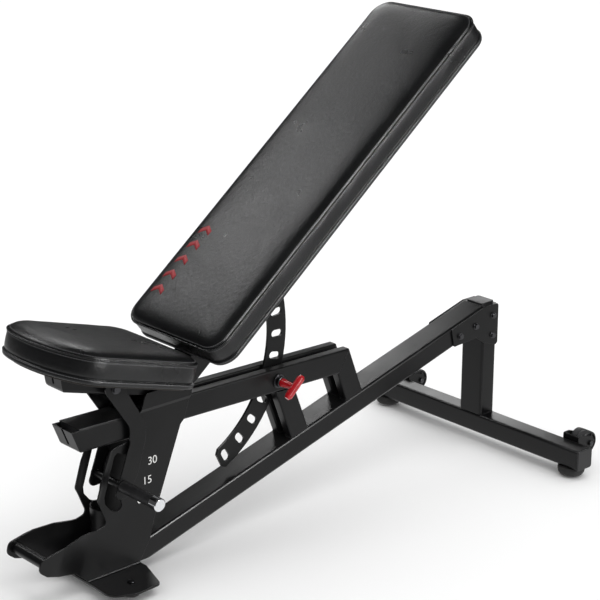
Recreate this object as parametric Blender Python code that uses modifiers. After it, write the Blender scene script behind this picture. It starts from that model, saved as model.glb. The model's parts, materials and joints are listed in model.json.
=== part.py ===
"""Adjustable weight bench: welded tube frame, tilting seat, inclining backrest with a ladder plate and
pop pin, bent-plate front foot with a carrying handle, and a rear crossbar with transport wheels.

Metres, +Z up. +X points to the rear crossbar and -Y is the side with the pop pin and the adjuster grip.
The origin lies on the floor under the middle of the bench. Side-view places are written as (x, z), where
x is measured from the front face of the rear crossbar and is negative towards the seat.
"""

import math

import bmesh
import bpy
from mathutils import Matrix, Vector

# Placing of the side view
REAR_X = 0.6115
GAP = 0.0003

# Main tubes
TUBE_HALF = 0.035
TUBE_DEPTH = 0.050
TUBE_WALL = 0.002
TUBE_CORNER = 0.006
SPINE_TOP_AT_REAR = 0.3646
SPINE_SLOPE = math.radians(15.36)
SPINE_FRONT = -1.128
RAIL_TOP_AT_REAR = 0.3535
RAIL_RISE = math.radians(1.34)
RAIL_DEPTH = 0.055
RAIL_CORNER = 0.0045
RAIL_SLOT_HALF = 0.009
RAIL_FRONT = -1.090
POST_LEAN = math.radians(21.0)
POST_DEPTH = 0.052
FRONT_POST = (-0.6520, 0.310)
REAR_POST = (-0.4625, 0.310)

# Rear end
CROSSBAR_HALF = 0.350
CROSSBAR_SIZE = 0.050
CROSSBAR_BOTTOM = 0.026
UPRIGHT_TOP = 0.358
END_CAP = 0.005
GUSSET_BOLTS = ((-0.086, 0.308), (-0.031, 0.321), (0.031, 0.336), (0.031, 0.284))
WHEEL_RADIUS = 0.0285
WHEEL_WIDTH = 0.040
WHEEL_AXIS = (0.0955, 0.061)
WHEEL_Y = 0.288
REAR_FOOT_Y = 0.314

# Front end
PLATE = 0.004
PLATE_INNER = TUBE_HALF + GAP
EAR_STEP = 0.005
EAR_RADIUS = 0.0190
EAR_FOLD_LOW = 0.369
EAR_FOLD_HIGH = 0.377
HANDLE_STEP = 0.0212
HANDLE_BAR = (-1.325, 0.108)
HANDLE_FOLD_REAR = (-1.200, 0.133)
HANDLE_FOLD_FRONT = (-1.291, 0.105)
HANDLE_FOLD_NORMAL = (-0.94, 0.0, 0.34)
HANDLE_BAR_RADIUS = 0.0125
FOOT_TOP = 0.0275
FOOT_PLATE = 0.0045
FRONT_FOOT = (-1.148, 0.100)
NOSE_FRONT = -1.240
NOSE_BOTTOM = 0.319
NOSE_HEIGHT = 0.051
NOSE_COVER_FRONT = -1.221
NOSE_RAKE = 0.022
SHEET = 0.003

# Backrest, in its own frame: x runs up the pad from the hinge, z out of its front face
HINGE = (-0.959, 0.455)
HINGE_RADIUS = 0.006
BACK_ANGLE = math.radians(38.4)
BACK_PAD_START = 0.0325
BACK_PAD_LENGTH = 0.9865
BACK_PAD_HALF = 0.157
PAD_CORNER = 0.042
BACK_PAD_BOTTOM = -0.0165
BACK_TUBE_BACK = -0.0765
BACK_TUBE_FRONT = -0.0225
BACK_TUBE_HALF = 0.025
BACK_TUBE_START = 0.036
BACK_TUBE_END = 0.930
BOARD_THICK = 0.0174
BOARD_RECESS = 0.0120
BOARD_INSET = 0.014
PAD_PROFILE = (
    (BOARD_INSET, BOARD_RECESS),
    (BOARD_INSET, 0.0),
    (0.0020, 0.0),
    (0.0, 0.0020),
    (0.0, 0.0095),
    (0.0035, 0.0115),
    (0.0015, 0.0250),
    (0.0018, 0.0410),
    (0.0030, 0.0500),
    (0.0050, 0.0552),
    (0.0090, 0.0598),
    (0.0150, 0.0634),
    (0.0240, 0.0660),
    (0.0400, 0.0681),
    (0.0620, 0.0693),
    (0.0950, 0.0700),
)

# Ladder plate and pop pin
LADDER_RADIUS = 0.308
LADDER_HALF_WIDTH = 0.0265
LADDER_HALF_THICK = 0.003
LADDER_STEP = math.radians(9.55)
LADDER_STEPS_EACH_WAY = 4
LADDER_END = math.radians(-63.8)
PIN_ANGLE = math.radians(-21.9)
PIN_REACH = 0.305
PIN_RADIUS = 0.0075
LADDER_SLOT_RADIUS = 0.0085
LADDER_SLOT_STRETCH = 0.0075
# The tip stops just short of the ladder plate, so that the backrest can turn at any place of the pin
PIN_TIP = 0.0036
PIN_NECK_RADIUS = 0.0045
PIN_NECK_END = 0.084
PIN_BAR_Y = 0.090
PIN_BAR_RADIUS = 0.0092
PIN_BAR_LENGTH = 0.0620
PIN_BAR_LEAN = math.radians(42)
BUSH_RADIUS = 0.0130

# Seat, in its own frame: x runs rearward along the seat from the same hinge, z up out of it
SEAT_TILT = math.radians(16.4)
SEAT_REAR = -0.0225
SEAT_HALF = 0.150
SEAT_FULL = -0.278
SEAT_FRONT = -0.382
SEAT_CORNER = 0.045
SEAT_BOTTOM = -0.0310
CHANNEL_BOTTOM = -0.0785
CHANNEL_HEIGHT = 0.0415
CHANNEL_HALF = 0.030
CHANNEL_FRONT = -0.302
CHANNEL_REAR = -0.085
CHANNEL_RAKE = 0.020
SUPPORT_PIVOT = (-0.165, -0.0605)

# Seat support arms and adjuster
ARM_INNER = 0.0455
ADJUSTER = (-1.123, 0.222)
ADJUSTER_ROD_RADIUS = 0.008
GRIP_RADIUS = 0.0135
GRIP_END = 0.166
GRIP_CAP_END = 0.175
ARM_TURN_PER_SEAT_TURN = 0.30
SEAT_STEP = math.radians(15.0)

SMOOTH_ANGLE = math.radians(35)
SIDE_VIEW = Matrix.Rotation(math.radians(90), 4, "X")

BLACK_PAINT = ((0.022, 0.022, 0.024), 0.42, 0.2)
BLACK_PLASTIC = ((0.015, 0.015, 0.016), 0.5, 0.0)
RUBBER = ((0.012, 0.012, 0.012), 0.8, 0.0)
VINYL = ((0.018, 0.018, 0.020), 0.45, 0.0)
PLYWOOD = ((0.36, 0.25, 0.15), 0.7, 0.0)
RED_PLASTIC = ((0.55, 0.02, 0.03), 0.3, 0.0)
CHROME = ((0.8, 0.8, 0.82), 0.12, 1.0)
ZINC = ((0.42, 0.42, 0.43), 0.35, 1.0)


# ---------------------------------------------------------------- scene and materials


def clear_scene():
    for old in list(bpy.data.objects):
        bpy.data.objects.remove(old, do_unlink=True)


def new_collection(name):
    collection = bpy.data.collections.new(name)
    bpy.context.scene.collection.children.link(collection)
    return collection


clear_scene()
BENCH = new_collection("adjustable_weight_bench")
CUTTERS = new_collection("cutters")


def give_material(obj, finish):
    colour, roughness, metallic = finish
    material = bpy.data.materials.new(obj.name + "_finish")
    material.use_nodes = True
    shader = material.node_tree.nodes["Principled BSDF"]
    shader.inputs["Base Color"].default_value = (*colour, 1.0)
    shader.inputs["Roughness"].default_value = roughness
    shader.inputs["Metallic"].default_value = metallic
    material.diffuse_color = (*colour, 1.0)
    obj.data.materials.append(material)


def add_piece(name, mesh, finish, parent=None):
    """Puts a mesh into the bench as a named sub-part, under the empty on its joint axis if it moves."""
    mesh.shade_smooth()
    mesh.set_sharp_from_angle(angle=SMOOTH_ANGLE)
    obj = bpy.data.objects.new(name, mesh)
    BENCH.objects.link(obj)
    give_material(obj, finish)
    if parent is not None:
        obj.parent = parent
        obj.matrix_parent_inverse = parent.matrix_world.inverted()
    return obj


def add_axis(name, place, parent=None):
    """An empty on a joint axis."""
    empty = bpy.data.objects.new(name, None)
    empty.empty_display_size = 0.05
    BENCH.objects.link(empty)
    empty.location = place
    bpy.context.view_layer.update()
    if parent is not None:
        empty.parent = parent
        empty.matrix_parent_inverse = parent.matrix_world.inverted()
        bpy.context.view_layer.update()
    return empty


# ---------------------------------------------------------------- outlines


def at(place, y=0.0):
    """World point of a side-view place."""
    x, z = place
    return Vector((REAR_X + x, y, z))


def arc(centre, radius, start, end, steps):
    """Points along an arc, both ends included; angles in radians."""
    points = []
    for index in range(steps + 1):
        angle = start + (end - start) * index / steps
        points.append((centre[0] + radius * math.cos(angle), centre[1] + radius * math.sin(angle)))
    return points


def rounded(corners, steps=4):
    """An outline through (x, y, radius) corners, with each corner turned by an arc of its radius."""
    points = []
    count = len(corners)
    for index, (x, y, radius) in enumerate(corners):
        here = Vector((x, y))
        if radius == 0:
            points.append((x, y))
            continue
        before = (Vector(corners[index - 1][:2]) - here).normalized()
        after = (Vector(corners[(index + 1) % count][:2]) - here).normalized()
        half = before.angle(after) / 2
        centre = here + (before + after).normalized() * (radius / math.sin(half))
        reach = radius / math.tan(half)
        first = here + before * reach - centre
        turn = first.angle_signed(here + after * reach - centre)
        start = math.atan2(first.y, first.x)
        points += arc(centre, radius, start, start - turn, steps)
    return points


def rectangle(width, height, radius, steps=3):
    w = width / 2
    h = height / 2
    return rounded([(-w, -h, radius), (w, -h, radius), (w, h, radius), (-w, h, radius)], steps)


def side_of(places):
    """Side-view places moved to world X."""
    return [(REAR_X + point[0], *point[1:]) for point in places]


# ---------------------------------------------------------------- solids


def outline_mesh(outline, thickness, holes=(), edge=0.0):
    """A flat outline, with holes, filled and given thickness about its own plane; edge rounds its rims."""
    curve = bpy.data.curves.new("outline", "CURVE")
    curve.dimensions = "2D"
    curve.fill_mode = "BOTH"
    curve.extrude = thickness / 2 - edge
    curve.bevel_depth = edge
    curve.bevel_resolution = 1
    curve.offset = -edge
    for loop in (outline, *holes):
        spline = curve.splines.new("POLY")
        spline.points.add(len(loop) - 1)
        for point, (x, y) in zip(spline.points, loop):
            point.co = (x, y, 0.0, 1.0)
        spline.use_cyclic_u = True
    return mesh_of(curve)


def mesh_of(curve):
    """The closed mesh of a curve, with its loose caps welded on; the curve is removed."""
    source = bpy.data.objects.new("source", curve)
    CUTTERS.objects.link(source)
    graph = bpy.context.evaluated_depsgraph_get()
    mesh = bpy.data.meshes.new_from_object(source.evaluated_get(graph))
    bpy.data.objects.remove(source, do_unlink=True)
    bpy.data.curves.remove(curve)
    solid = bmesh.new()
    solid.from_mesh(mesh)
    bmesh.ops.remove_doubles(solid, verts=solid.verts, dist=0.00001)
    bmesh.ops.recalc_face_normals(solid, faces=solid.faces)
    solid.to_mesh(mesh)
    solid.free()
    return mesh


def box_mesh(low, high):
    """A box between two opposite corners."""
    low = Vector(low)
    high = Vector(high)
    solid = bmesh.new()
    bmesh.ops.create_cube(solid, size=1.0)
    size = high - low
    bmesh.ops.scale(solid, vec=size, verts=solid.verts)
    bmesh.ops.translate(solid, vec=(low + high) / 2, verts=solid.verts)
    return finished(solid)


def rod_mesh(start, end, radius, end_radius=None, sides=20):
    """A round bar between two points, with end_radius for a taper."""
    start = Vector(start)
    end = Vector(end)
    axis = end - start
    solid = bmesh.new()
    bmesh.ops.create_cone(
        solid,
        cap_ends=True,
        segments=sides,
        radius1=radius,
        radius2=radius if end_radius is None else end_radius,
        depth=axis.length,
    )
    turn = axis.to_track_quat("Z", "Y").to_matrix().to_4x4()
    bmesh.ops.transform(solid, matrix=Matrix.Translation((start + end) / 2) @ turn, verts=solid.verts)
    return finished(solid)


def finished(solid):
    mesh = bpy.data.meshes.new("solid")
    solid.to_mesh(mesh)
    solid.free()
    return mesh


def moved(mesh, matrix):
    mesh.transform(matrix)
    return mesh


def side_plate(outline, y_low, y_high, holes=(), frame=Matrix.Identity(4), edge=0.0):
    """A plate whose outline is drawn in a frame's XZ plane, between two Y values."""
    mesh = outline_mesh(outline, abs(y_high - y_low), holes, edge)
    middle = Matrix.Translation((0.0, (y_low + y_high) / 2, 0.0))
    return moved(mesh, frame @ middle @ SIDE_VIEW)


def tube_mesh(start, end, half_width, depth, wall=TUBE_WALL, corner=TUBE_CORNER, y=0.0):
    """A rectangular tube between two side-view points; its width is along Y."""
    start = Vector(start)
    end = Vector(end)
    along = (end - start).normalized()
    across = Vector((0.0, 1.0, 0.0))
    turn = Matrix((across, along.cross(across), along)).transposed().to_4x4()
    outer = rectangle(2 * half_width, depth, corner)
    inner = rectangle(2 * (half_width - wall), depth - 2 * wall, corner - wall, 2)
    mesh = outline_mesh(outer, (end - start).length, (inner,))
    middle = (start + end) / 2 + across * y
    return moved(mesh, Matrix.Translation(middle) @ turn)


def turned_piece(name, profile, place, axis, finish, parent=None, steps=24):
    """A turned piece with a bore: the closed profile runs down its outer side and up its bore."""
    return turn_profile(name, profile, True, place, axis, finish, parent, steps)


def turned_solid(name, profile, place, axis, finish, parent=None, steps=20):
    """A turned piece without a bore: its open profile starts and ends on the axis."""
    return turn_profile(name, profile, False, place, axis, finish, parent, steps)


def turn_profile(name, profile, closed, place, axis, finish, parent, steps):
    """Turns a profile of (radius, height) points about an axis through a place."""
    mesh = bpy.data.meshes.new(name)
    count = len(profile)
    edges = [(index, (index + 1) % count) for index in range(count if closed else count - 1)]
    mesh.from_pydata([(radius, 0.0, height) for radius, height in profile], edges, [])
    obj = add_piece(name, mesh, finish)
    screw = obj.modifiers.new("turn", "SCREW")
    screw.axis = "Z"
    screw.steps = steps
    screw.render_steps = steps
    screw.use_merge_vertices = True
    screw.merge_threshold = 0.00001
    screw.use_smooth_shade = True
    turn = Vector(axis).to_track_quat("Z", "Y").to_matrix().to_4x4()
    obj.matrix_world = Matrix.Translation(place) @ turn
    if parent is not None:
        bpy.context.view_layer.update()
        obj.parent = parent
        obj.matrix_parent_inverse = parent.matrix_world.inverted()
    return obj


def hidden_tool(mesh):
    """A guide solid for a Boolean, kept out of the bench."""
    tool = bpy.data.objects.new("tool", mesh)
    CUTTERS.objects.link(tool)
    tool.hide_render = True
    tool.display_type = "WIRE"
    return tool


def combine(obj, operation, meshes):
    for mesh in meshes:
        boolean = obj.modifiers.new(operation.lower(), "BOOLEAN")
        boolean.operation = operation
        boolean.solver = "EXACT"
        boolean.object = hidden_tool(mesh)
    return obj


def cut(obj, *meshes):
    return combine(obj, "DIFFERENCE", meshes)


def join(obj, *meshes):
    return combine(obj, "UNION", meshes)


def cross_hole(place, radius, y_low=-0.08, y_high=0.08, sides=16):
    """A round cutter along Y at a side-view place."""
    return rod_mesh(at(place, y_low), at(place, y_high), radius, sides=sides)


def block_beyond(point, direction, size=0.4):
    """A large block that covers everything beyond a plane, for cutting a tube's end."""
    block = box_mesh((-size, -size, 0.0), (size, size, size))
    turn = Vector(direction).to_track_quat("Z", "Y").to_matrix().to_4x4()
    return moved(block, Matrix.Translation(point) @ turn)


def through_bolt(name, place, y_near, y_far, radius, head_radius, finish, parent=None):
    """A hex bolt along Y with its head and washer on the near side and its nut on the far side."""
    head = 0.0057
    tip = 0.0015
    shank = rod_mesh(at(place, y_near - tip), at(place, y_far + head + tip), radius)
    obj = add_piece(name, shank, finish, parent)
    near_washer = rod_mesh(at(place, y_near - 0.0012), at(place, y_near), head_radius * 1.2)
    near_head = rod_mesh(at(place, y_near - head), at(place, y_near - 0.0006), head_radius, sides=6)
    far_nut = rod_mesh(at(place, y_far), at(place, y_far + head), head_radius, sides=6)
    return join(obj, near_washer, near_head, far_nut)


# ---------------------------------------------------------------- shared side-view geometry


def spine_top(x):
    return SPINE_TOP_AT_REAR + math.tan(SPINE_SLOPE) * x


def rail_top(x):
    return RAIL_TOP_AT_REAR - math.tan(RAIL_RISE) * x


def centre_line(top, x, slope, depth):
    """Centre of a sloping tube under its top edge at x, in world X and Z."""
    normal = Vector((math.sin(slope), 0.0, -math.cos(slope)))
    return at((x, top(x))) + normal * (depth / 2)


BACK_FRAME = Matrix.Translation(at(HINGE)) @ Matrix.Rotation(-BACK_ANGLE, 4, "Y")
SEAT_FRAME = Matrix.Translation(at(HINGE)) @ Matrix.Rotation(SEAT_TILT, 4, "Y")
PIVOT_POINT = SEAT_FRAME @ Vector((SUPPORT_PIVOT[0], 0.0, SUPPORT_PIVOT[1]))
PIVOT = (PIVOT_POINT.x - REAR_X, PIVOT_POINT.z)
PIN = (
    HINGE[0] + PIN_REACH * math.cos(PIN_ANGLE),
    HINGE[1] + PIN_REACH * math.sin(PIN_ANGLE),
)


# ---------------------------------------------------------------- frame


def make_spine():
    start = centre_line(spine_top, SPINE_FRONT - 0.06, SPINE_SLOPE, TUBE_DEPTH)
    end = centre_line(spine_top, 0.06, SPINE_SLOPE, TUBE_DEPTH)
    spine = add_piece("spine_tube", tube_mesh(start, end, TUBE_HALF, TUBE_DEPTH), BLACK_PAINT)
    cut(
        spine,
        block_beyond(at((-GAP, 0.2)), (1, 0, 0)),
        block_beyond(at((SPINE_FRONT, 0.1)), (-1, 0, 0)),
        block_beyond(at((-1.0, FOOT_TOP + GAP)), (0, 0, -1)),
        *[cross_hole(place, 0.0046) for place in GUSSET_BOLTS[:2]],
    )


def rail_directions():
    """Unit vectors along a rail and up out of its top."""
    along = Vector((math.cos(RAIL_RISE), 0.0, -math.sin(RAIL_RISE)))
    upward = Vector((math.sin(RAIL_RISE), 0.0, math.cos(RAIL_RISE)))
    return along, upward


def post_directions():
    """Unit vectors down a post and across it towards the rear."""
    down = Vector((math.sin(POST_LEAN), 0.0, -math.cos(POST_LEAN)))
    across = Vector((math.cos(POST_LEAN), 0.0, math.sin(POST_LEAN)))
    return down, across


def rear_mitre():
    """Inner and outer corners of the joint where a rail turns down into its rear post."""
    down, across = post_directions()
    upward = rail_directions()[1]
    top = at((0.0, rail_top(0.0)))
    corners = []
    for offset, depth in ((-POST_DEPTH / 2, RAIL_DEPTH), (POST_DEPTH / 2, 0.0)):
        on_post = at(REAR_POST) + across * offset
        reach = (top - upward * depth - on_post).dot(upward) / down.dot(upward)
        corners.append(on_post + down * reach)
    return corners


def make_rail(side, y, half_width):
    start = centre_line(rail_top, RAIL_FRONT, -RAIL_RISE, RAIL_DEPTH)
    end = centre_line(rail_top, -0.36, -RAIL_RISE, RAIL_DEPTH)
    mesh = tube_mesh(start, end, half_width, RAIL_DEPTH, corner=RAIL_CORNER, y=y)
    rail = add_piece("rail_" + side, mesh, BLACK_PAINT)
    inner, outer = rear_mitre()
    rearward = Vector((outer.z - inner.z, 0.0, inner.x - outer.x)).normalized()
    cut(rail, block_beyond(inner - rearward * GAP / 2, rearward))
    if side == "near":
        cut(rail, cross_hole(PIN, BUSH_RADIUS + GAP, -0.08, 0.0, 20))
    else:
        cut(rail, cross_hole(PIN, PIN_RADIUS + 0.0006, 0.0, RAIL_SLOT_HALF + 0.0055))


def make_post(name, place, y, half_width, is_rear):
    down = post_directions()[0]
    start = at(place) - down * 0.12
    end = at(place) + down * 0.22
    mesh = tube_mesh(start, end, half_width, POST_DEPTH, corner=RAIL_CORNER, y=y)
    post = add_piece(name, mesh, BLACK_PAINT)
    if is_rear:
        inner, outer = rear_mitre()
        rearward = Vector((outer.z - inner.z, 0.0, inner.x - outer.x)).normalized()
        cut(post, block_beyond(inner + rearward * GAP / 2, -rearward))
    else:
        upward = rail_directions()[1]
        cut(post, block_beyond(at((0.0, rail_top(0.0))) - upward * (RAIL_DEPTH + GAP), upward, 1.2))
    out_of_spine = Vector((-math.sin(SPINE_SLOPE), 0.0, math.cos(SPINE_SLOPE)))
    cut(post, block_beyond(at((0.0, spine_top(0.0))) + out_of_spine * GAP, -out_of_spine, 1.2))


def make_rails_and_posts():
    """Two half-width rails with a slot between them, each carried by two leaning posts."""
    half_width = (TUBE_HALF - RAIL_SLOT_HALF) / 2
    for side, sign in (("near", -1), ("far", 1)):
        y = sign * (RAIL_SLOT_HALF + half_width)
        make_rail(side, y, half_width)
        make_post("front_post_" + side, FRONT_POST, y, half_width, False)
        make_post("rear_post_" + side, REAR_POST, y, half_width, True)


# ---------------------------------------------------------------- front end


def adjuster_path(turn):
    """Where the adjuster rod sits when the seat has turned by an angle from its middle notch."""
    pivot = Vector((HINGE[0], HINGE[1]))
    rest = Vector(PIVOT) - pivot
    cosine = math.cos(turn)
    sine = math.sin(turn)
    seat_pin = pivot + Vector((rest.x * cosine + rest.y * sine, rest.y * cosine - rest.x * sine))
    arm = Vector(ADJUSTER) - Vector(PIVOT)
    swing = -turn * ARM_TURN_PER_SEAT_TURN
    cosine = math.cos(swing)
    sine = math.sin(swing)
    return seat_pin + Vector((arm.x * cosine + arm.y * sine, arm.y * cosine - arm.x * sine))


def slot_outline():
    """The adjuster's slot: smooth in front, with three shallow notches behind the rod's path."""
    clear = ADJUSTER_ROD_RADIUS + 0.0010
    notch = ADJUSTER_ROD_RADIUS + 0.0034
    low = adjuster_path(-SEAT_STEP).y - notch * 0.88
    high = adjuster_path(SEAT_STEP).y + notch * 0.88
    rows = 56
    behind = []
    for row in range(rows + 1):
        z = low + (high - low) * row / rows
        reach = []
        for step in range(-20, 21):
            centre = adjuster_path(step / 20 * SEAT_STEP)
            size = notch if step % 20 == 0 else clear
            drop = z - centre.y
            if abs(drop) < size:
                reach.append(centre.x + math.sqrt(size * size - drop * drop))
        behind.append((max(reach), z))
    top = adjuster_path(SEAT_STEP)
    front = [
        (top.x, top.y + clear + 0.006),
        (-1.128, 0.2965),
        (-1.137, 0.2900),
        (-1.149, 0.2540),
        (-1.1655, 0.2050),
        (-1.1640, 0.1900),
        (-1.1500, 0.1720),
        (-1.1400, 0.1660),
        (-1.1300, 0.1640),
    ]
    return side_of(behind + front)


def plate_outline():
    """Side plate: hinge ear above, slotted web, and the handle arm reaching forward."""
    rear = rounded(
        side_of(
            [
                (-0.9305, 0.4460, 0.006),
                (-0.9255, 0.4130, 0.010),
                (-0.9330, 0.3720, 0.010),
                (-0.9480, 0.3260, 0.006),
                (-0.9590, 0.3160, 0.008),
                (-1.0340, 0.1260, 0.030),
                (-1.0480, 0.0740, 0.020),
                (-1.0780, FOOT_TOP + GAP, 0.004),
                (-1.2140, FOOT_TOP + GAP, 0.004),
                (-1.2500, 0.0600, 0.020),
                (-1.3300, 0.0850, 0.014),
                (-1.3490, 0.1000, 0.014),
                (-1.3430, 0.1240, 0.014),
                (-1.3000, 0.1330, 0.030),
                (-1.2360, 0.1400, 0.010),
                (-1.1850, 0.1370, 0.008),
                (-1.1590, 0.1430, 0.010),
                (-1.1840, 0.2060, 0.012),
                (-1.1660, 0.2620, 0.020),
                (-1.1460, 0.3060, 0.008),
                (-1.0950, 0.3160, 0.004),
                (-1.0880, 0.3500, 0.010),
                (-1.0700, 0.3640, 0.003),
                (-1.0530, 0.4110, 0.010),
                (-0.9990, 0.4110, 0.008),
                (-0.9778, 0.4270, 0.004),
            ]
        )
    )
    centre = (REAR_X + HINGE[0], HINGE[1])
    return rear + arc(centre, EAR_RADIUS, math.radians(178), math.radians(10), 12)


def bend_plate(mesh, sign):
    """Steps the ear outward above its fold and splays the handle arm outward between its two folds."""
    solid = bmesh.new()
    solid.from_mesh(mesh)
    folds = (
        (at((-1.0, EAR_FOLD_LOW)), (0, 0, 1)),
        (at((-1.0, EAR_FOLD_HIGH)), (0, 0, 1)),
        (at(HANDLE_FOLD_REAR), HANDLE_FOLD_NORMAL),
        (at(HANDLE_FOLD_FRONT), HANDLE_FOLD_NORMAL),
    )
    for point, normal in folds:
        geometry = solid.verts[:] + solid.edges[:] + solid.faces[:]
        bmesh.ops.bisect_plane(solid, geom=geometry, dist=0.000001, plane_co=point, plane_no=normal)
    normal = Vector(HANDLE_FOLD_NORMAL).normalized()
    rear = at(HANDLE_FOLD_REAR)
    span = (at(HANDLE_FOLD_FRONT) - rear).dot(normal)
    for vertex in solid.verts:
        rise = (vertex.co.z - EAR_FOLD_LOW) / (EAR_FOLD_HIGH - EAR_FOLD_LOW)
        reach = (vertex.co - rear).dot(normal) / span
        step = EAR_STEP * min(max(rise, 0.0), 1.0) + HANDLE_STEP * min(max(reach, 0.0), 1.0)
        vertex.co.y += sign * step
    return finished(solid)


def make_side_plates():
    for side, sign in (("near", -1), ("far", 1)):
        low, high = sorted((sign * PLATE_INNER, sign * (PLATE_INNER + PLATE)))
        flat = side_plate(plate_outline(), low, high, (slot_outline(),))
        plate = add_piece("side_plate_" + side, bend_plate(flat, sign), BLACK_PAINT)
        cut(plate, cross_hole(HINGE, HINGE_RADIUS + GAP))


def folded_channel(name, start, end, height, half_width, rake, frame, slot_width, parent=None):
    """An open-topped sheet channel along X whose raked front is closed by folded flaps that leave a slot.
    start is its upper front corner's x and its bottom's z, and end is its rear in x."""
    x_front, bottom = start
    top = bottom + height
    outer = box_mesh((x_front, -half_width, bottom), (end, half_width, top))
    inner = box_mesh(
        (x_front + SHEET, -half_width + SHEET, bottom + SHEET), (end + 0.05, half_width - SHEET, top + 0.03)
    )
    slot_low = (x_front - 0.01, -slot_width / 2, bottom + 0.012)
    slot = box_mesh(slot_low, (x_front + rake + 0.01, slot_width / 2, top + 0.01))
    shell = round_lower_edges(raked(outer, rake, height), 0.007)
    hollow = round_lower_edges(raked(inner, rake, height), 0.004)
    channel = add_piece(name, moved(shell, frame), BLACK_PAINT, parent)
    return cut(channel, moved(hollow, frame), moved(slot, frame))


def raked(mesh, rake, height):
    """Slopes a box's front so that it falls back by rake over a height, from its lower edge up."""
    front = min(vertex.co.x for vertex in mesh.vertices)
    bottom = min(vertex.co.z for vertex in mesh.vertices)
    for vertex in mesh.vertices:
        if vertex.co.x < front + GAP:
            vertex.co.x += rake * (1 - (vertex.co.z - bottom) / height)
    return mesh


def round_lower_edges(mesh, radius):
    """Rounds the two lower edges of a box that run along X, and the lower edge of its front."""
    solid = bmesh.new()
    solid.from_mesh(mesh)
    bottom = min(vertex.co.z for vertex in solid.verts) + GAP
    rear = max(vertex.co.x for vertex in solid.verts) - GAP
    edges = []
    for edge in solid.edges:
        low = all(vertex.co.z < bottom for vertex in edge.verts)
        if low and any(vertex.co.x < rear for vertex in edge.verts):
            edges.append(edge)
    bmesh.ops.bevel(solid, geom=edges, offset=radius, segments=3, profile=0.5, affect="EDGES")
    return finished(solid)


def make_nose():
    frame = Matrix.Translation(at((NOSE_FRONT, NOSE_BOTTOM))) @ Matrix.Rotation(RAIL_RISE, 4, "Y")
    length = RAIL_FRONT - 0.0018 - NOSE_FRONT
    half_width = PLATE_INNER - GAP
    folded_channel("nose_channel", (0.0, 0.0), length, NOSE_HEIGHT, half_width, NOSE_RAKE, frame, 0.007)
    cover_start = NOSE_COVER_FRONT - NOSE_FRONT
    cover = box_mesh(
        (cover_start, -half_width, NOSE_HEIGHT + GAP), (length, half_width, NOSE_HEIGHT + GAP + SHEET)
    )
    lip = box_mesh(
        (cover_start, -half_width + SHEET + GAP, NOSE_HEIGHT - 0.016),
        (cover_start + SHEET, half_width - SHEET - GAP, NOSE_HEIGHT + GAP + SHEET / 2),
    )
    join(add_piece("nose_cover", moved(cover, frame), BLACK_PAINT), moved(lip, frame))


def make_front_foot():
    outline = rounded(
        [
            (REAR_X - 1.217, -0.060, 0.030),
            (REAR_X - 1.221, -0.125, 0.030),
            (REAR_X - 1.170, -0.149, 0.030),
            (REAR_X - 1.104, -0.146, 0.014),
            (REAR_X - 1.076, -0.060, 0.020),
            (REAR_X - 1.076, 0.060, 0.020),
            (REAR_X - 1.104, 0.146, 0.014),
            (REAR_X - 1.170, 0.149, 0.030),
            (REAR_X - 1.221, 0.125, 0.030),
            (REAR_X - 1.217, 0.060, 0.030),
        ]
    )
    mesh = outline_mesh(outline, FOOT_PLATE)
    middle = Matrix.Translation((0.0, 0.0, FOOT_TOP - FOOT_PLATE / 2))
    plate = add_piece("front_foot_plate", moved(mesh, middle), BLACK_PAINT)
    bottom = FOOT_TOP - FOOT_PLATE - GAP
    for side, sign in (("near", -1), ("far", 1)):
        x, y = FRONT_FOOT
        place = at((x, 0.0), sign * y)
        cut(plate, rod_mesh(place, place + Vector((0, 0, 0.05)), 0.0046, sides=16))
        profile = [(0.0175, bottom), (0.0195, 0.004), (0.0180, 0.0), (0.0090, 0.0), (0.0090, 0.006)]
        profile += [(0.0046, 0.006)]
        turned_piece("front_foot_" + side, profile + [(0.0046, bottom)], place, (0, 0, 1), RUBBER)
        head = FOOT_TOP + GAP
        profile = [(0.0, head + 0.005), (0.0050, head + 0.0044), (0.0078, head + 0.0018), (0.0080, head)]
        profile += [(0.0040, head), (0.0040, 0.0075), (0.0, 0.0075)]
        turned_solid("front_foot_screw_" + side, profile, place, (0, 0, 1), ZINC)


def make_handle_bar():
    reach = PLATE_INNER + HANDLE_STEP - GAP
    bar = rod_mesh(at(HANDLE_BAR, -reach), at(HANDLE_BAR, reach), HANDLE_BAR_RADIUS, sides=28)
    add_piece("front_handle_bar", bar, BLACK_PAINT)


def make_front_shield():
    """A curved plate that ties the two side plates together behind the handle."""
    half = PLATE_INNER - GAP
    bulge = 0.020
    radius = (half**2 + bulge**2) / (2 * bulge)
    reach = math.asin(half / radius)
    centre = (REAR_X - 1.168 + radius, 0.0)
    inner_reach = math.asin(half / (radius - SHEET))
    outside = arc(centre, radius, math.pi - reach, math.pi + reach, 12)
    inside = arc(centre, radius - SHEET, math.pi + inner_reach, math.pi - inner_reach, 12)
    mesh = outline_mesh(outside + inside, 0.068)
    add_piece("front_shield", moved(mesh, Matrix.Translation((0.0, 0.0, 0.133))), BLACK_PAINT)


# ---------------------------------------------------------------- rear end


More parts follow.
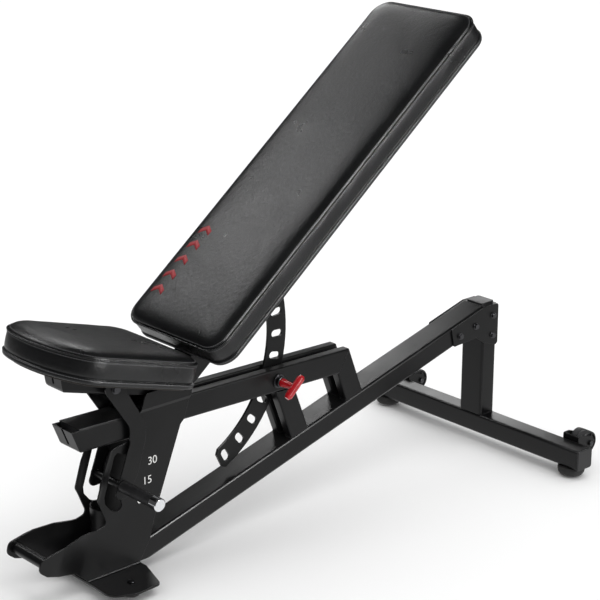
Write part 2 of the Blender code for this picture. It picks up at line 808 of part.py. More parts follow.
def make_rear():
    upright_start = Vector((REAR_X + TUBE_DEPTH / 2, 0.0, CROSSBAR_BOTTOM + CROSSBAR_SIZE + GAP))
    upright_end = Vector((upright_start.x, 0.0, UPRIGHT_TOP))
    upright_tube = tube_mesh(upright_start, upright_end, TUBE_HALF, TUBE_DEPTH)
    upright = add_piece("rear_upright", upright_tube, BLACK_PAINT)
    cut(upright, *[cross_hole(place, 0.0046) for place in GUSSET_BOLTS[2:]])

    middle_z = CROSSBAR_BOTTOM + CROSSBAR_SIZE / 2
    outer = rectangle(CROSSBAR_SIZE, CROSSBAR_SIZE, TUBE_CORNER)
    bore = CROSSBAR_SIZE - 2 * TUBE_WALL
    inner = rectangle(bore, bore, TUBE_CORNER - TUBE_WALL, 2)
    bar = outline_mesh(outer, 2 * CROSSBAR_HALF, (inner,))
    centre = Matrix.Translation((REAR_X + CROSSBAR_SIZE / 2, 0.0, middle_z))
    crossbar = add_piece("rear_crossbar", moved(bar, centre @ SIDE_VIEW), BLACK_PAINT)
    for side, sign in (("near", -1), ("far", 1)):
        place = Vector((REAR_X + CROSSBAR_SIZE / 2, sign * REAR_FOOT_Y, 0.0))
        cut(crossbar, rod_mesh(place, place + Vector((0, 0, CROSSBAR_BOTTOM + 0.02)), 0.0065, sides=12))
        make_end_cap(side, sign, centre)
        make_rear_foot(side, place)
        make_wheel(side, sign)
    make_upright_cap()
    make_gussets()


def make_end_cap(side, sign, centre):
    face = outline_mesh(rectangle(CROSSBAR_SIZE, CROSSBAR_SIZE, TUBE_CORNER), END_CAP, edge=0.0012)
    inside = CROSSBAR_SIZE - 2 * TUBE_WALL - 2 * GAP
    plug = outline_mesh(rectangle(inside, inside, 0.005), 0.020)
    lay = centre @ Matrix.Translation((0.0, sign * (CROSSBAR_HALF + GAP + END_CAP / 2), 0.0)) @ SIDE_VIEW
    cap = add_piece("crossbar_cap_" + side, moved(face, lay), BLACK_PLASTIC)
    inward = centre @ Matrix.Translation((0.0, sign * (CROSSBAR_HALF - 0.008), 0.0)) @ SIDE_VIEW
    join(cap, moved(plug, inward))


def make_rear_foot(side, place):
    top = CROSSBAR_BOTTOM - GAP
    profile = [(0.0, top + 0.012), (0.0060, top + 0.012), (0.0060, top), (0.0320, top)]
    profile += [(0.0330, top - 0.0015), (0.0330, 0.0160), (0.0315, 0.0100), (0.0270, 0.0045)]
    profile += [(0.0200, 0.0012), (0.0130, 0.0), (0.0, 0.0)]
    turned_solid("rear_foot_" + side, profile, place, (0, 0, 1), RUBBER, steps=24)


def make_upright_cap():
    """A stepped plastic cap: a plug in the tube, a flange over its end and a smaller raised centre."""
    middle = Vector((REAR_X + TUBE_DEPTH / 2, 0.0, 0.0))
    layers = (
        (TUBE_DEPTH - 2 * GAP, 2 * TUBE_HALF, UPRIGHT_TOP + GAP, 0.0052, 0.006),
        (TUBE_DEPTH - 0.006, 2 * TUBE_HALF - 0.018, UPRIGHT_TOP + 0.004, 0.0070, 0.005),
        (TUBE_DEPTH - 0.0046, 2 * TUBE_HALF - 0.0046, UPRIGHT_TOP - 0.012, 0.015, 0.005),
    )
    solids = []
    for length, width, bottom, height, corner in layers:
        mesh = outline_mesh(rectangle(length, width, corner), height)
        solids.append(moved(mesh, Matrix.Translation(middle + Vector((0, 0, bottom + height / 2)))))
    join(add_piece("upright_cap", solids[0], BLACK_PLASTIC), *solids[1:])


def make_gussets():
    outline = rounded(
        side_of(
            [
                (-0.1060, 0.2850, 0.003),
                (-0.0270, 0.2900, 0.008),
                (0.0020, 0.2700, 0.010),
                (0.0440, 0.2560, 0.006),
                (0.0505, 0.2620, 0.004),
                (0.0500, 0.3640, 0.006),
                (0.0030, 0.3640, 0.008),
                (-0.1170, 0.3310, 0.004),
            ]
        )
    )
    for side, sign in (("near", -1), ("far", 1)):
        low, high = sorted((sign * PLATE_INNER, sign * (PLATE_INNER + PLATE)))
        gusset = add_piece("gusset_" + side, side_plate(outline, low, high), BLACK_PAINT)
        cut(gusset, *[cross_hole(place, 0.0046) for place in GUSSET_BOLTS])
    face = PLATE_INNER + PLATE + GAP
    for number, place in enumerate(GUSSET_BOLTS, start=1):
        through_bolt(f"gusset_bolt_{number}", place, -face, face, 0.0040, 0.0070, ZINC)


def make_wheel(side, sign):
    """A ribbed roller on a bolt between the ears of a folded bracket behind the crossbar."""
    x, z = WHEEL_AXIS
    y = sign * WHEEL_Y
    centre = at((x, z), y)
    axis_empty = add_axis("wheel_axis_" + side, centre)
    half = WHEEL_WIDTH / 2
    web = half - 0.0050
    rim = WHEEL_RADIUS - 0.0045
    profile = [
        (WHEEL_RADIUS - 0.0020, half),
        (WHEEL_RADIUS - 0.0006, half - 0.0014),
        (WHEEL_RADIUS, 0.0050),
        (WHEEL_RADIUS, 0.0012),
        (WHEEL_RADIUS - 0.0009, 0.0),
        (WHEEL_RADIUS, -0.0012),
        (WHEEL_RADIUS, -0.0050),
        (WHEEL_RADIUS - 0.0006, -half + 0.0014),
        (WHEEL_RADIUS - 0.0020, -half),
        (rim, -half),
        (rim - 0.0006, -web),
        (0.0086, -web),
        (0.0080, -half),
        (0.0044, -half),
        (0.0044, half),
        (0.0080, half),
        (0.0086, web),
        (rim - 0.0006, web),
        (rim, half),
    ]
    wheel = turned_piece("wheel_" + side, profile, centre, (0, 1, 0), BLACK_PLASTIC, axis_empty, 32)
    ribs = []
    for index in range(3):
        for outward in (-1, 1):
            for turn in (0, math.pi):
                low, high = sorted((outward * (web - 0.001), outward * (half - 0.0008)))
                rib = box_mesh((0.0075, low, -0.0012), (rim + 0.0010, high, 0.0012))
                spin = Matrix.Rotation(turn + index * math.pi / 3, 4, "Y")
                ribs.append(moved(rib, Matrix.Translation(centre) @ spin))
    join(wheel, *ribs)

    flange_in = half + 0.001
    flange_out = flange_in + SHEET
    back = CROSSBAR_SIZE + GAP
    outline = rounded(
        side_of(
            [
                (back, 0.040, 0.0),
                (0.0780, 0.042, 0.010),
                (0.1090, 0.050, 0.012),
                (0.1090, 0.074, 0.012),
                (0.0700, 0.088, 0.012),
                (back, 0.088, 0.003),
            ]
        )
    )
    ears = side_plate(outline, y - flange_out, y + flange_out)
    bracket = add_piece("wheel_bracket_" + side, ears, BLACK_PAINT)
    space = box_mesh((REAR_X + back + SHEET, y - flange_in, 0.0), (REAR_X + 0.2, y + flange_in, 0.2))
    cut(bracket, space, cross_hole((x, z), 0.0043, y - 0.03, y + 0.03))
    axle_start = at((x, z), y - flange_out - 0.006)
    axle_end = at((x, z), y + flange_out + 0.006)
    axle = add_piece("wheel_axle_" + side, rod_mesh(axle_start, axle_end, 0.0040, sides=16), ZINC)
    heads = []
    for end in (-1, 1):
        face = y + end * (flange_out + GAP)
        heads.append(rod_mesh(at((x, z), face), at((x, z), face + end * 0.0045), 0.0070, sides=6))
    join(axle, *heads)


# ---------------------------------------------------------------- backrest


def make_backrest(axis_empty):
    make_back_frame(axis_empty)
    make_ladder(axis_empty)
    make_pad("back", back_pad_outline, BACK_PAD_BOTTOM, BACK_FRAME, axis_empty)


def back_pad_outline(inset):
    """The back pad's outline, drawn in from its edge by an inset."""
    start = BACK_PAD_START + inset
    end = BACK_PAD_START + BACK_PAD_LENGTH - inset
    half = BACK_PAD_HALF - inset
    corner = max(PAD_CORNER - inset * 0.6, 0.012)
    corners = [(start, -half, corner), (end, -half, corner), (end, half, corner), (start, half, corner)]
    return rounded(corners, 6)


def make_pad(name, outline_at, bottom, frame, parent):
    """A crowned cushion with a base band and a creased top edge, and the board let into its underside."""
    solid = bmesh.new()
    rings = []
    for inset, height in PAD_PROFILE:
        rings.append([solid.verts.new((x, y, bottom + height)) for x, y in outline_at(inset)])
    count = len(rings[0])
    for lower, upper in zip(rings, rings[1:]):
        for index in range(count):
            after = (index + 1) % count
            solid.faces.new((lower[index], lower[after], upper[after], upper[index]))
    solid.faces.new(list(reversed(rings[0])))
    solid.faces.new(rings[-1])
    bmesh.ops.recalc_face_normals(solid, faces=solid.faces)
    add_piece(name + "_cushion", moved(finished(solid), frame), VINYL, parent)
    board = outline_mesh(outline_at(BOARD_INSET + GAP), BOARD_THICK)
    middle = bottom + BOARD_RECESS - GAP - BOARD_THICK / 2
    add_piece(name + "_board", moved(board, frame @ Matrix.Translation((0, 0, middle))), PLYWOOD, parent)


def make_back_frame(axis_empty):
    """A tube up the back of the pad, between two hinge brackets."""
    middle = (BACK_TUBE_BACK + BACK_TUBE_FRONT) / 2
    depth = BACK_TUBE_FRONT - BACK_TUBE_BACK
    ends = ((BACK_TUBE_START, 0, middle), (BACK_TUBE_END, 0, middle))
    tube = tube_mesh(*ends, BACK_TUBE_HALF, depth, corner=0.005)
    add_piece("back_tube", moved(tube, BACK_FRAME), BLACK_PAINT, axis_empty)

    face = outline_mesh(rectangle(2 * BACK_TUBE_HALF, depth, 0.005), END_CAP, edge=0.0012)
    inside = 2 * (TUBE_WALL + GAP)
    plug = outline_mesh(rectangle(2 * BACK_TUBE_HALF - inside, depth - inside, 0.005), 0.020)
    end_on = Matrix(((0, 0, 1, 0), (1, 0, 0, 0), (0, 1, 0, 0), (0, 0, 0, 1)))
    cap_x = BACK_TUBE_END + GAP + END_CAP / 2
    cap = moved(face, BACK_FRAME @ Matrix.Translation((cap_x, 0, middle)) @ end_on)
    plug = moved(plug, BACK_FRAME @ Matrix.Translation((BACK_TUBE_END - 0.008, 0, middle)) @ end_on)
    join(add_piece("back_tube_cap", cap, BLACK_PLASTIC, axis_empty), plug)

    outline = rounded(
        [
            (-0.0170, 0.0170, 0.0165),
            (-0.0200, -0.0400, 0.010),
            (-0.0020, BACK_TUBE_BACK, 0.006),
            (0.1500, BACK_TUBE_BACK, 0.006),
            (0.1900, -0.0600, 0.008),
            (0.1900, BACK_TUBE_FRONT - GAP, 0.003),
            (0.0280, BACK_TUBE_FRONT - GAP, 0.008),
            (0.0170, 0.0170, 0.0165),
        ],
        5,
    )
    for side, sign in (("near", -1), ("far", 1)):
        inner = BACK_TUBE_HALF + GAP
        low, high = sorted((sign * inner, sign * (inner + PLATE)))
        bracket = add_piece(
            "back_bracket_" + side, side_plate(outline, low, high, frame=BACK_FRAME), BLACK_PAINT, axis_empty
        )
        cut(bracket, cross_hole(HINGE, HINGE_RADIUS + GAP))


def make_ladder(axis_empty):
    """The slotted plate on an arc about the hinge, welded under the back tube."""
    inner = LADDER_RADIUS - LADDER_HALF_WIDTH
    outer = LADDER_RADIUS + LADDER_HALF_WIDTH
    under_tube = -BACK_TUBE_BACK + GAP
    lowest = LADDER_END - BACK_ANGLE
    outline = arc((0, 0), outer, lowest + math.radians(1.5), -math.asin(under_tube / outer), 26)
    outline += arc((0, 0), inner, -math.asin(under_tube / inner), lowest + math.radians(2.0), 24)
    outline += arc((0, 0), inner + 0.009, lowest + math.radians(0.2), lowest, 1)
    outline += arc((0, 0), outer - 0.009, lowest, lowest + math.radians(0.1), 1)
    slots = []
    for step in range(-LADDER_STEPS_EACH_WAY, LADDER_STEPS_EACH_WAY + 1):
        slots.append(ladder_slot(PIN_ANGLE - BACK_ANGLE + step * LADDER_STEP))
    mesh = side_plate(outline, -LADDER_HALF_THICK, LADDER_HALF_THICK, slots, BACK_FRAME)
    add_piece("ladder_plate", mesh, BLACK_PAINT, axis_empty)


def ladder_slot(angle):
    """An obround slot, long along the radius, at an angle in the backrest's own frame."""
    outer_end = (LADDER_RADIUS + LADDER_SLOT_STRETCH, 0)
    inner_end = (LADDER_RADIUS - LADDER_SLOT_STRETCH, 0)
    loop = arc(outer_end, LADDER_SLOT_RADIUS, -math.pi / 2, math.pi / 2, 6)
    loop += arc(inner_end, LADDER_SLOT_RADIUS, math.pi / 2, 3 * math.pi / 2, 6)
    cosine = math.cos(angle)
    sine = math.sin(angle)
    return [(x * cosine - y * sine, x * sine + y * cosine) for x, y in loop]


# ---------------------------------------------------------------- pop pin


def make_pop_pin():
    axis_empty = add_axis("pop_pin_axis", at(PIN))
    place = at(PIN)
    face = TUBE_HALF + GAP
    flange = face + 0.004
    nut = flange + 0.010
    bore = PIN_RADIUS + GAP
    profile = [
        (0.0118, nut),
        (0.0128, nut - 0.001),
        (0.0128, flange),
        (0.0160, flange),
        (0.0160, face),
        (BUSH_RADIUS, face),
        (BUSH_RADIUS, RAIL_SLOT_HALF + TUBE_WALL),
        (bore, RAIL_SLOT_HALF + TUBE_WALL),
        (bore, RAIL_SLOT_HALF + 0.006),
        (0.0112, RAIL_SLOT_HALF + 0.006),
        (0.0112, nut - 0.004),
        (bore, nut - 0.004),
        (bore, nut),
    ]
    turned_piece("pin_bushing", profile, place, (0, -1, 0), ZINC, steps=24)

    collar = RAIL_SLOT_HALF + 0.008
    profile = [
        (0.0, PIN_NECK_END),
        (PIN_NECK_RADIUS, PIN_NECK_END),
        (PIN_NECK_RADIUS, nut + 0.0006),
        (PIN_RADIUS, nut + 0.0003),
        (PIN_RADIUS, collar + 0.003),
        (0.0108, collar + 0.003),
        (0.0108, collar),
        (PIN_RADIUS, collar),
        (PIN_RADIUS, PIN_TIP + 0.002),
        (PIN_RADIUS - 0.002, PIN_TIP),
        (0.0, PIN_TIP),
    ]
    turned_solid("pin_rod", profile, place, (0, -1, 0), ZINC, axis_empty)
    make_pin_spring(collar + 0.0036, nut - 0.0046)
    make_pin_handle(axis_empty, nut + 0.001)


def make_pin_spring(start, end):
    """A compression spring round the rod, inside the bushing."""
    turns = 5
    per_turn = 12
    radius = 0.0093
    wire = 0.0007
    curve = bpy.data.curves.new("pin_spring", "CURVE")
    curve.dimensions = "3D"
    curve.bevel_depth = wire
    curve.bevel_resolution = 1
    curve.use_fill_caps = True
    spline = curve.splines.new("POLY")
    spline.points.add(turns * per_turn)
    first = start + wire
    travel = end - start - 2 * wire
    for index, point in enumerate(spline.points):
        angle = 2 * math.pi * index / per_turn
        along = first + travel * index / (turns * per_turn)
        place = at(PIN) + Vector((radius * math.cos(angle), -along, radius * math.sin(angle)))
        point.co = (*place, 1.0)
    add_piece("pin_spring", mesh_of(curve), ZINC)


def make_pin_handle(axis_empty, start):
    """The pull handle: a waisted neck into a round cross bar."""
    neck_start = at(PIN, -start)
    neck_waist = at(PIN, -start - 0.009)
    middle = at(PIN, -PIN_BAR_Y)
    neck = rod_mesh(neck_start, neck_waist + Vector((0, -0.001, 0)), 0.0102, 0.0092)
    handle = add_piece("pin_handle", neck, RED_PLASTIC, axis_empty)
    join(handle, rod_mesh(neck_waist, middle, 0.0090, 0.0070))
    lean = Vector((math.cos(PIN_BAR_LEAN), 0.0, math.sin(PIN_BAR_LEAN)))
    reach = PIN_BAR_LENGTH / 2 - 0.006
    join(handle, rod_mesh(middle - lean * reach, middle + lean * reach, PIN_BAR_RADIUS))
    for sign in (-1, 1):
        shoulder = middle + lean * sign * (reach - 0.0005)
        tip = middle + lean * sign * PIN_BAR_LENGTH / 2
        join(handle, rod_mesh(shoulder, tip, PIN_BAR_RADIUS - 0.0002, 0.0055))
    cut(handle, rod_mesh(at(PIN, 0.0), at(PIN, -PIN_NECK_END - GAP), PIN_NECK_RADIUS + GAP))


# ---------------------------------------------------------------- seat and its support


def make_seat(axis_empty):
    channel = folded_channel(
        "seat_channel",
        (CHANNEL_FRONT, CHANNEL_BOTTOM),
        CHANNEL_REAR,
        CHANNEL_HEIGHT,
        CHANNEL_HALF,
        CHANNEL_RAKE,
        SEAT_FRAME,
        0.006,
        axis_empty,
    )
    cut(channel, cross_hole(PIVOT, HINGE_RADIUS + GAP))
    outline = rounded(
        [
            (-0.0140, 0.0140, 0.0135),
            (-0.0155, -0.0220, 0.010),
            (-0.0225, -0.0400, 0.006),
            (-0.1450, -0.0405, 0.004),
            (-0.1450, -0.0745, 0.010),
            (-0.0300, -0.0740, 0.030),
            (0.0140, -0.0140, 0.012),
            (0.0140, 0.0140, 0.0135),
        ],
        5,
    )
    for side, sign in (("near", -1), ("far", 1)):
        low, high = sorted((sign * (CHANNEL_HALF + GAP), sign * (CHANNEL_HALF + GAP + PLATE)))
        bracket = add_piece(
            "seat_bracket_" + side, side_plate(outline, low, high, frame=SEAT_FRAME), BLACK_PAINT, axis_empty
        )
        cut(bracket, cross_hole(HINGE, HINGE_RADIUS + GAP))

    make_pad("seat", seat_outline, SEAT_BOTTOM, SEAT_FRAME, axis_empty)


def seat_outline(inset):
    """Square across the back and half an ellipse at the front."""
    half = SEAT_HALF - inset
    corner = max(SEAT_CORNER - inset * 0.6, 0.012)
    rear = SEAT_REAR - inset
    full = SEAT_FULL
    outline = arc((rear - corner, half - corner), corner, 0.0, math.pi / 2, 6)
    for index in range(21):
        angle = math.pi / 2 + math.pi * index / 20
        outline.append((full + (full - SEAT_FRONT - inset) * math.cos(angle), half * math.sin(angle)))
    outline += arc((rear - corner, corner - half), corner, -math.pi / 2, 0.0, 6)
    return outline


def make_support(axis_empty):
    """Two bent arms from the seat's pin down to the adjuster rod, which has its grip on the near side."""
    outline = rounded(
        side_of(
            [
                (-1.1620, 0.4490, 0.010),
                (-1.1540, 0.4300, 0.012),
                (-1.1010, 0.3500, 0.030),
                (-1.1010, 0.3150, 0.020),
                (-1.1420, 0.2060, 0.012),
                (-1.1360, 0.1940, 0.012),
                (-1.1120, 0.1940, 0.012),
                (-1.0820, 0.2430, 0.020),
                (-1.0600, 0.3180, 0.020),
                (-1.0590, 0.3480, 0.020),
                (-1.1060, 0.4300, 0.020),
                (-1.1180, 0.4570, 0.014),
                (-1.1500, 0.4610, 0.014),
            ]
        )
    )
    for side, sign in (("near", -1), ("far", 1)):
        low, high = sorted((sign * ARM_INNER, sign * (ARM_INNER + PLATE)))
        arm = add_piece("support_arm_" + side, side_plate(outline, low, high), BLACK_PAINT, axis_empty)
        cut(arm, cross_hole(PIVOT, HINGE_RADIUS + GAP), cross_hole(ADJUSTER, ADJUSTER_ROD_RADIUS + GAP))

    far_end = ARM_INNER + PLATE + 0.006
    rod = rod_mesh(at(ADJUSTER, -GRIP_END), at(ADJUSTER, far_end), ADJUSTER_ROD_RADIUS, sides=20)
    add_piece("adjuster_rod", rod, BLACK_PAINT, axis_empty)
    grip_start = ARM_INNER + PLATE + GAP
    bore = ADJUSTER_ROD_RADIUS + GAP
    profile = [
        (GRIP_RADIUS, GRIP_END - 0.014),
        (GRIP_RADIUS, grip_start + 0.001),
        (GRIP_RADIUS - 0.001, grip_start),
        (bore, grip_start),
        (bore, GRIP_END - 0.014),
    ]
    turned_piece("adjuster_grip", profile, at(ADJUSTER), (0, -1, 0), BLACK_PLASTIC, axis_empty, 24)
    cap_start = GRIP_END - 0.0137
    profile = [
        (0.0, GRIP_CAP_END),
        (0.0125, GRIP_CAP_END),
        (0.0146, GRIP_CAP_END - 0.0022),
        (0.0146, cap_start + 0.0008),
        (0.0138, cap_start),
        (bore, cap_start),
        (bore, GRIP_END + GAP),
        (0.0, GRIP_END + GAP),
    ]
    turned_solid("adjuster_end_cap", profile, at(ADJUSTER), (0, -1, 0), CHROME, axis_empty, 28)


# ---------------------------------------------------------------- whole bench


def make_bench():
    make_spine()
    make_rails_and_posts()
    make_side_plates()
    make_nose()
    make_front_foot()
    make_handle_bar()
    make_front_shield()
    make_rear()
    make_pop_pin()

    back_axis = add_axis("backrest_axis", at(HINGE))
    seat_axis = add_axis("seat_axis", at(HINGE))
    support_axis = add_axis("support_axis", at(PIVOT), seat_axis)
    make_backrest(back_axis)
    make_seat(seat_axis)
    make_support(support_axis)
    hinge_face = PLATE_INNER + EAR_STEP + PLATE + GAP
    through_bolt("hinge_bolt", HINGE, -hinge_face, hinge_face, HINGE_RADIUS, 0.0100, ZINC)
    arm_face = ARM_INNER + PLATE + GAP
    through_bolt("seat_pivot_bolt", PIVOT, -arm_face, arm_face, HINGE_RADIUS, 0.0090, ZINC, seat_axis)


make_bench()
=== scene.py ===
import json
import math

import bmesh
import bpy
from mathutils import Matrix, Vector, noise
from mathutils.bvhtree import BVHTree


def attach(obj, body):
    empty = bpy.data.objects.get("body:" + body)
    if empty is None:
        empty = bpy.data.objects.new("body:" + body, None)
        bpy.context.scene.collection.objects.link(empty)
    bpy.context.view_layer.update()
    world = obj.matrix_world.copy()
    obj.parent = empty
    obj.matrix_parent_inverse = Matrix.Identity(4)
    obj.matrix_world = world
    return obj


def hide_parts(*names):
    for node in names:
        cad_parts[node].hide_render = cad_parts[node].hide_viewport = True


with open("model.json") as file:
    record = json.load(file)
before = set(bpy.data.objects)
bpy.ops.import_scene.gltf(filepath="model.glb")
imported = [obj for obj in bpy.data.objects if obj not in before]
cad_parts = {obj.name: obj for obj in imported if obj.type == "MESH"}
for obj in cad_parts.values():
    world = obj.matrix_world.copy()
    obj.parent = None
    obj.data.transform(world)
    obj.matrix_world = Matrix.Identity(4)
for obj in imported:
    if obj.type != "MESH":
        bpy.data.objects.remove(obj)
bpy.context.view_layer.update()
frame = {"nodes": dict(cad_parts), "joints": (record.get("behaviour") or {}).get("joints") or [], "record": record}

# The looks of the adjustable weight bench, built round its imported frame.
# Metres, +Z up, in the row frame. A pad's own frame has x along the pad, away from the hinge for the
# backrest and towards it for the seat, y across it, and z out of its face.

# Pads
BACK_ANGLE = math.radians(38.4)
SEAT_TILT = math.radians(16.4)
BACK_CORNER = 0.042
SEAT_CORNER = 0.045
SEAT_SHOULDER = -0.278
POCKET_INSET = 0.014
POCKET_DEPTH = 0.012
PAD_DEPTH = 0.070
SEAM_DEPTH = 0.0115
CREASE_DEPTH = 0.0505
WELT_INSET = 0.0014
WELT_RADIUS = 0.0021
WELT_LIFT = 0.0008
STITCH_LENGTH = 0.0042
STITCH_PITCH = 0.0056
THREAD_RADIUS = 0.00055
SWELL_PRESSURE = 4.0
SWELL_CAP = 0.0008
SWELL_ROUNDS = 24

# Printed notch numbers on the near side plate's outer face, as (number, world x, z)
PLATE_FACE_Y = -0.0393
LABEL_HEIGHT = 0.0255
LABELS = (("30", -0.4255, 0.254), ("15", -0.4405, 0.212), ("0", -0.4625, 0.173))

# Camera
CAMERA_PLACE = (-2.6466, -2.9528, 1.8311)
CAMERA_AZIMUTH = math.radians(-42.2166)
CAMERA_ELEVATION = math.radians(18.445)
CAMERA_ROLL = math.radians(0.1457)
CAMERA_LENS = 111.87

SMOOTH_ANGLE = math.radians(38)
WELDED = 0.000002
FLAT_ANGLE = math.radians(0.4)
EDGE_ANGLE = math.radians(42)
# Width of the softened edges for a material slot, or for one node
EDGE_WIDTHS = {
    "black_paint": 0.0006,
    "board": 0.0008,
    "rubber": 0.0,
    "black_plastic": 0.0006,
    "red_plastic": 0.0009,
    "chrome": 0.0,
    "zinc": 0.0003,
    "pin_spring": 0.0,
    "pin_rod": 0.0,
    "wheel_near": 0.0004,
    "wheel_far": 0.0004,
}

# Softboxes, as (name, place, target, size, watts)
SOFTBOXES = (
    ("softbox_over_pad", (-0.60, 2.15, 2.80), (0.0, 0.0, 0.75), (0.60, 0.75), 21),
    ("softbox_over_rails", (1.45, 2.30, 2.30), (0.2, 0.0, 0.4), (0.8, 0.6), 14),
    ("softbox_low", (1.80, 1.20, 0.65), (0.6, -0.1, 0.07), (0.75, 0.35), 4.5),
    ("edge_light", (0.85, -3.40, 1.65), (0.0, 0.0, 0.7), (0.8, 0.8), 210),
)


# ---------------------------------------------------------------- material nodes


def start_material(name, colour, roughness, metallic=0.0, specular=0.5):
    """A Principled material; returns it with its node tree and its shader."""
    material = bpy.data.materials.new(name)
    material.use_nodes = True
    tree = material.node_tree
    shader = tree.nodes["Principled BSDF"]
    shader.inputs["Base Color"].default_value = (*colour, 1.0)
    shader.inputs["Roughness"].default_value = roughness
    shader.inputs["Metallic"].default_value = metallic
    shader.inputs["Specular IOR Level"].default_value = specular
    material.diffuse_color = (*colour, 1.0)
    return material, tree, shader


def own_coordinates(tree, stretch=(1, 1, 1)):
    """The piece's own coordinates, stretched."""
    coordinates = tree.nodes.new("ShaderNodeTexCoord")
    mapping = tree.nodes.new("ShaderNodeMapping")
    mapping.inputs["Scale"].default_value = stretch
    tree.links.new(coordinates.outputs["Object"], mapping.inputs["Vector"])
    return mapping.outputs["Vector"]


def noise_output(tree, place, scale, detail=3.0, rough=0.55):
    texture = tree.nodes.new("ShaderNodeTexNoise")
    texture.inputs["Scale"].default_value = scale
    texture.inputs["Detail"].default_value = detail
    texture.inputs["Roughness"].default_value = rough
    tree.links.new(place, texture.inputs["Vector"])
    return texture.outputs["Fac"]


def cells_output(tree, place, scale, feature="F1"):
    texture = tree.nodes.new("ShaderNodeTexVoronoi")
    texture.feature = feature
    texture.inputs["Scale"].default_value = scale
    tree.links.new(place, texture.inputs["Vector"])
    return texture.outputs["Distance"]


def remap(tree, value, low, high, new_low, new_high):
    node = tree.nodes.new("ShaderNodeMapRange")
    for name, number in (("From Min", low), ("From Max", high), ("To Min", new_low), ("To Max", new_high)):
        node.inputs[name].default_value = number
    tree.links.new(value, node.inputs["Value"])
    return node.outputs["Result"]


def mix_colours(tree, factor, first, second):
    """Blends two colours by a factor; a colour is a triple or another node's output."""
    node = tree.nodes.new("ShaderNodeMix")
    node.data_type = "RGBA"
    tree.links.new(factor, node.inputs["Factor"])
    for socket, colour in ((node.inputs[6], first), (node.inputs[7], second)):
        if isinstance(colour, bpy.types.NodeSocket):
            tree.links.new(colour, socket)
        else:
            socket.default_value = (*colour, 1.0)
    return node.outputs[2]


def add_bump(tree, shader, heights, normal=None):
    """Chains bumps of (output, distance in metres) into the shader's normal."""
    for height, distance in heights:
        bump = tree.nodes.new("ShaderNodeBump")
        bump.inputs["Strength"].default_value = 1.0
        bump.inputs["Distance"].default_value = distance
        tree.links.new(height, bump.inputs["Height"])
        if normal is not None:
            tree.links.new(normal, bump.inputs["Normal"])
        normal = bump.outputs["Normal"]
    tree.links.new(normal, shader.inputs["Normal"])


def rounded_normal(tree, radius):
    bevel = tree.nodes.new("ShaderNodeBevel")
    bevel.samples = 4
    bevel.inputs["Radius"].default_value = radius
    return bevel.outputs["Normal"]


def edge_mask(tree, normal):
    """About 0 on flat faces, and up to 1 along rounded-over edges."""
    geometry = tree.nodes.new("ShaderNodeNewGeometry")
    dot = tree.nodes.new("ShaderNodeVectorMath")
    dot.operation = "DOT_PRODUCT"
    tree.links.new(normal, dot.inputs[0])
    tree.links.new(geometry.outputs["Normal"], dot.inputs[1])
    return remap(tree, dot.outputs["Value"], 0.985, 0.88, 0.0, 1.0)


# ---------------------------------------------------------------- materials


def powder_coat():
    """Satin black powder coat: fine orange peel, faint dust, and paler rubbed edges."""
    material, tree, shader = start_material("powder_coat", (0.005, 0.005, 0.0054), 0.33, specular=0.24)
    place = own_coordinates(tree)
    dust = noise_output(tree, place, 9.0, 4.0)
    peel = noise_output(tree, place, 620.0, 2.0)
    wave = noise_output(tree, place, 90.0, 1.0)
    normal = rounded_normal(tree, 0.0013)
    worn = tree.nodes.new("ShaderNodeMath")
    worn.operation = "MULTIPLY"
    tree.links.new(edge_mask(tree, normal), worn.inputs[0])
    rubbed = noise_output(tree, place, 55.0, 3.0)
    tree.links.new(remap(tree, rubbed, 0.38, 0.62, 0.15, 1.0), worn.inputs[1])
    dusty = remap(tree, dust, 0.35, 0.7, 0.0, 1.0)
    body = mix_colours(tree, dusty, (0.0040, 0.0040, 0.0044), (0.0066, 0.0066, 0.0069))
    colour = mix_colours(tree, worn.outputs["Value"], body, (0.05, 0.05, 0.052))
    tree.links.new(colour, shader.inputs["Base Color"])
    tree.links.new(remap(tree, dust, 0.3, 0.7, 0.28, 0.37), shader.inputs["Roughness"])
    add_bump(tree, shader, [(wave, 0.00006), (peel, 0.00003)], normal)
    return material


def vinyl(name="vinyl", colour=(0.0040, 0.0042, 0.0046), gloss=0.27):
    """Black upholstery vinyl: pressed leather grain, finer pores and a slightly uneven gloss."""
    material, tree, shader = start_material(name, colour, gloss, specular=0.42)
    place = own_coordinates(tree)
    cells = cells_output(tree, place, 620.0, "DISTANCE_TO_EDGE")
    pores = noise_output(tree, place, 1500.0, 2.0)
    folds = noise_output(tree, place, 110.0, 5.0, 0.62)
    patch = noise_output(tree, place, 11.0, 3.0)
    pale = tuple(value * 1.45 for value in colour)
    mixed = mix_colours(tree, remap(tree, patch, 0.35, 0.65, 0.0, 1.0), colour, pale)
    tree.links.new(mixed, shader.inputs["Base Color"])
    tree.links.new(remap(tree, patch, 0.3, 0.7, gloss, gloss + 0.08), shader.inputs["Roughness"])
    grain = remap(tree, cells, 0.0, 0.25, 0.0, 1.0)
    add_bump(tree, shader, [(folds, 0.0006), (grain, 0.00008), (pores, 0.00003)])
    return material


def thread():
    material, tree, shader = start_material("thread", (0.11, 0.11, 0.115), 0.45)
    place = own_coordinates(tree)
    twist = noise_output(tree, place, 2600.0, 2.0)
    tree.links.new(remap(tree, twist, 0.3, 0.7, 0.5, 0.75), shader.inputs["Roughness"])
    add_bump(tree, shader, [(twist, 0.00008)])
    return material


